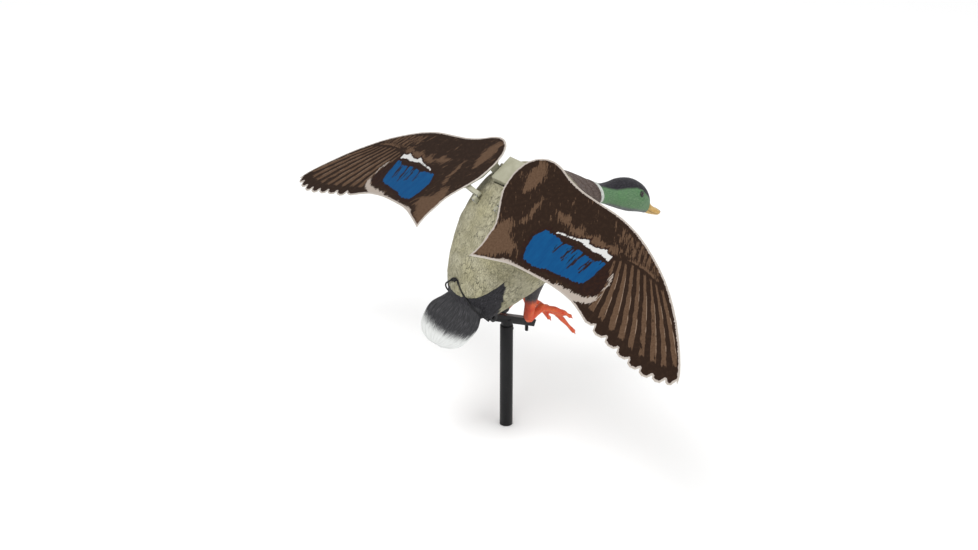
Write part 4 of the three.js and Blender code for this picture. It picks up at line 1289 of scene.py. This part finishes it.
CORD_ROUTE = [
    (-11.5, -82, 41), (-28, -88, 35), (-42, -94, 25), (-48.5, -98, 12), (-48, -101, -8),
    (-38, -103, -25), (-20, -104, -37), (0, -105, -41), (20, -106, -37), (40, -108, -22),
    (51, -109, -5), (53, -109, 9), (44, -107, 17), (26, -103, 22), (10, -96, 29), (0, -88, 36),
    (-5.5, -83, 41),
]
CORD_RADIUS = 1.25
KNOT_CENTRE = (-8.5, -81.0, 42.5)
KNOB_BASE = np.array([0, -12, 236.0])
KNOB_AXIS = np.array([0, 0.353, -0.935])
POLE_TOP = 187.0
BUTTON_Z = 177.0
BOLT_Y = 43.0
HEX_HALF = 5.05
THREAD_PITCH = 1.0
THREAD_STEP = 0.1
UP = (0, 0, 1)


def on_cord(point):
    x, along, off = point
    return (x, *on_axis(along, off))


def braid(ring, turn):
    """The woven sheath's crossing strands."""
    return 0.13 * (np.abs(np.sin(turn * 2 + ring * 0.5)) + np.abs(np.sin(turn * 2 - ring * 0.5))) - 0.1


def make_cord(material):
    route = spline([on_cord(p) for p in CORD_ROUTE], np.linspace(0, 1, 620))
    sheath = sweep(route, CORD_RADIUS, sides=20, relief=braid)
    make_piece("cord_sheath", sheath, "decoy", "elastic", [material], ["elastic_cord"])
    t = np.linspace(0, 2 * math.pi, 200)
    loops = np.stack([np.sin(t) + 2 * np.sin(2 * t), np.cos(t) - 2 * np.cos(2 * t), -0.9 * np.sin(3 * t)], -1)
    centre = np.array(on_cord(KNOT_CENTRE))
    ends = [
        [centre, centre + [-3, -3, 2], centre + [-6, -7, -1]],
        [centre, centre + [3, -3, 2], centre + [5, -8, 0]],
    ]
    tails = [sweep(spline(end, np.linspace(0, 1, 24)), 1.2, sides=20, relief=braid) for end in ends]
    knot = joined(sweep(centre + loops * 1.05, 1.15, sides=20, relief=braid), *tails)
    make_piece("cord_overhand_knot", knot, "decoy", "elastic", [material], ["cord_knot"])


def make_bolt(material):
    centre = (0.0, BOLT_Y, 0.0)
    head = [
        (0.6, 185.9), (5.0, 185.9), (HEX_HALF, 186.3), (HEX_HALF, 189.9), (4.6, 190.4), (3.0, 190.45),
        (0.4, 190.3),
    ]
    washer = [(3.1, 184.9), (7.0, 184.9), (7.2, 185.2), (7.0, 185.8), (3.1, 185.9)]
    shank = [(2.0, 163.0)] + [(2.75, z) for z in np.arange(163.5, 186.0, THREAD_STEP)]

    def hexagon(ring, angle):
        """Turns the head's full-width rings into hexagons."""
        if not 1 < ring < 5:
            return 0.0
        return HEX_HALF / math.cos((angle % (math.pi / 3)) - math.pi / 6) - HEX_HALF

    def thread(ring, angle):
        turns = ring * THREAD_STEP / THREAD_PITCH + angle / (2 * math.pi)
        return 0.5 * abs((turns % 1.0) - 0.5) - 0.05

    bolt = joined(
        lathe(centre, UP, head, sides=96, knurl=hexagon),
        lathe(centre, UP, washer, sides=64),
        lathe(centre, UP, shank, sides=40, knurl=thread),
    )
    make_piece("hex_bolt", bolt, "stand", "bright_steel", [material], ["bar_bolt"])


def make_knob(material):
    flange = [(3.0, 13.3), (8.6, 13.3), (9.1, 13.7), (9.2, 14.4), (9.0, 15.2), (8.4, 15.6), (7.7, 16.1)]
    grip = [
        (7.9, 16.6), (8.0, 17.2), (8.0, 21.2), (7.9, 21.9), (7.4, 22.5), (6.6, 22.8), (6.2, 22.6),
        (5.4, 22.0), (2.0, 21.9),
    ]

    def ribs(ring, angle):
        """Ribs round the grip's sides only."""
        if not len(flange) <= ring <= len(flange) + 4:
            return 0.0
        return 0.55 * abs(math.cos(angle * 9)) ** 0.6 - 0.25

    knob = lathe(KNOB_BASE, KNOB_AXIS, flange + grip, sides=216, knurl=ribs)
    make_piece("ribbed_knob", knob, "knob", "black_plastic", [material], ["tilt_knob"])


def make_pole(steel, bright):
    outside = [
        (10.7, 0.0), (11.0, 0.4), (11.0, 60.0), (11.0, 120.0), (11.0, POLE_TOP - 0.5), (10.7, POLE_TOP),
    ]
    inside = [(9.8, POLE_TOP), (9.5, POLE_TOP - 0.5), (9.5, 0.5), (9.8, 0.0), (10.7, 0.0)]
    grommet = [(3.2, 10.2), (3.9, 10.7), (4.0, 11.1), (3.6, 11.35), (3.15, 11.2), (3.1, 10.4)]
    button_middle, forwards = (0, 0, BUTTON_Z), (0, 1, 0)
    pole = joined(
        lathe((0, 0, 0), UP, outside + inside, sides=96, open_ends=True),
        lathe(button_middle, forwards, grommet, sides=48, open_ends=True),
    )
    make_piece("steel_pole", pole, "stand", "black_steel", [steel], ["pole_tube"])
    dome = [(3.0, 2.0)]
    dome += [(3.0 * math.cos(a), 12.6 + 1.9 * math.sin(a)) for a in (0.0, *np.linspace(0.2, 1.5, 9))]
    button = lathe(button_middle, forwards, dome, sides=48)
    make_piece("domed_button", button, "button", "bright_steel", [bright], ["snap_button"])


def smooth_by_angle(limit):
    """A node group that shades smooth, and keeps edges sharper than the limit crisp."""
    tree = bpy.data.node_groups.new("smooth_by_angle", "GeometryNodeTree")
    for way in ("INPUT", "OUTPUT"):
        tree.interface.new_socket("Geometry", in_out=way, socket_type="NodeSocketGeometry")
    start, angle, sharp, faces, edges, end = (
        tree.nodes.new(kind) for kind in (
            "NodeGroupInput", "GeometryNodeInputMeshEdgeAngle", "ShaderNodeMath",
            "GeometryNodeSetShadeSmooth", "GeometryNodeSetShadeSmooth", "NodeGroupOutput",
        )
    )
    sharp.operation = "GREATER_THAN"
    sharp.inputs[1].default_value = limit
    edges.domain = "EDGE"
    edges.inputs["Shade Smooth"].default_value = False
    tree.links.new(start.outputs[0], faces.inputs["Geometry"])
    tree.links.new(faces.outputs["Geometry"], edges.inputs["Geometry"])
    tree.links.new(angle.outputs["Unsigned Angle"], sharp.inputs[0])
    tree.links.new(sharp.outputs[0], edges.inputs["Selection"])
    tree.links.new(edges.outputs["Geometry"], end.inputs[0])
    return tree


SMOOTH = smooth_by_angle(math.radians(34))
BEVEL_LIMIT = math.radians(40)


def dress(names, material, edge=0.0):
    """Gives CAD nodes a material and rounded edges of that many millimetres."""
    for name in names:
        obj = NODES[name]
        obj.data.materials.clear()
        obj.data.materials.append(material)
        modifier(obj, "WELD", merge_threshold=0.00001)
        if edge:
            modifier(
                obj, "BEVEL", width=edge * MM, segments=3, limit_method="ANGLE", angle_limit=BEVEL_LIMIT
            )
        modifier(obj, "NODES", node_group=SMOOTH)


# ---------------------------------------------------------------- the whole object

def both(*names):
    return [f"{name}_{side}" for name in names for side, _ in SIDES]


def make_object():
    make_body(body_look())
    make_tail(tail_look())
    make_head(head_look())
    make_bill(bill_look())
    make_legs(leg_look())
    make_wings(wing_look(), wing_lining_look())
    glass = plastic_look("eye_gloss", paint(26, 12, 8), paint(44, 20, 12), 0.12, 0.6)
    lid = plastic_look("eyelid_paint", paint(30, 40, 32), paint(52, 70, 54), 0.45)
    make_eyes(glass, lid)

    black_steel = steel_look("black_steel", paint(14, 14, 16), paint(52, 52, 56), 0.2, 0.36)
    lengthwise = (math.radians(90), 0.0, 0.0)
    bar_steel = steel_look("bar_steel", paint(13, 13, 15), paint(50, 50, 54), 0.2, 0.42, lengthwise)
    bright_steel = steel_look("bright_steel", paint(170, 172, 176), paint(120, 120, 122), 0.9, 0.28)
    black_plastic = plastic_look("black_plastic", paint(22, 22, 24), paint(42, 42, 46), 0.42)
    housing = plastic_look("housing_plastic", paint(166, 164, 140), paint(184, 182, 160), 0.5, 1.1)
    hub = plastic_look("hub_plastic", paint(92, 94, 74), paint(112, 112, 90), 0.52, 1.1)
    natural = plastic_look("natural_plastic", paint(214, 210, 194), paint(230, 228, 216), 0.45)
    battery = plastic_look("battery_case", paint(40, 58, 92), paint(56, 76, 112), 0.4)
    board = plastic_look("circuit_board", paint(20, 78, 44), paint(34, 104, 62), 0.4, 2.4)
    elastic = plastic_look("elastic_weave", paint(14, 14, 15), paint(34, 34, 36), 0.8, 2.4)
    make_cord(elastic)
    make_bolt(black_steel)
    make_knob(black_plastic)
    make_pole(black_steel, bright_steel)
    dress(["mount_bar"], bar_steel, 1.4)
    dress(["flapper_housing"], housing, 1.6)
    dress(both("wing_lever"), hub, 0.5)
    dress(both("wing_clip"), housing, 0.5)
    dress(both("rear_lug"), housing, 0.4)
    dress(["charge_port", "switch_rocker"], black_plastic, 0.25)
    dress(both("front_spar", "rear_spar"), black_steel)
    dress(both("front_pin", "rear_pin") + ["tilt_stud"], bright_steel, 0.3)
    dress(["tilt_pin"], black_steel, 0.3)
    dress(["tilt_clevis", "chassis_frame"], black_plastic, 0.5)
    dress(["drive_yoke", "crank_gear", "motor_pinion"], natural, 0.15)
    dress(["drive_motor"], bright_steel, 0.4)
    dress(["battery_tray"], black_plastic, 0.4)
    dress(["battery_pack"], battery, 0.6)
    dress(["control_board"], board, 0.2)


make_camera()
make_stage()
make_object()
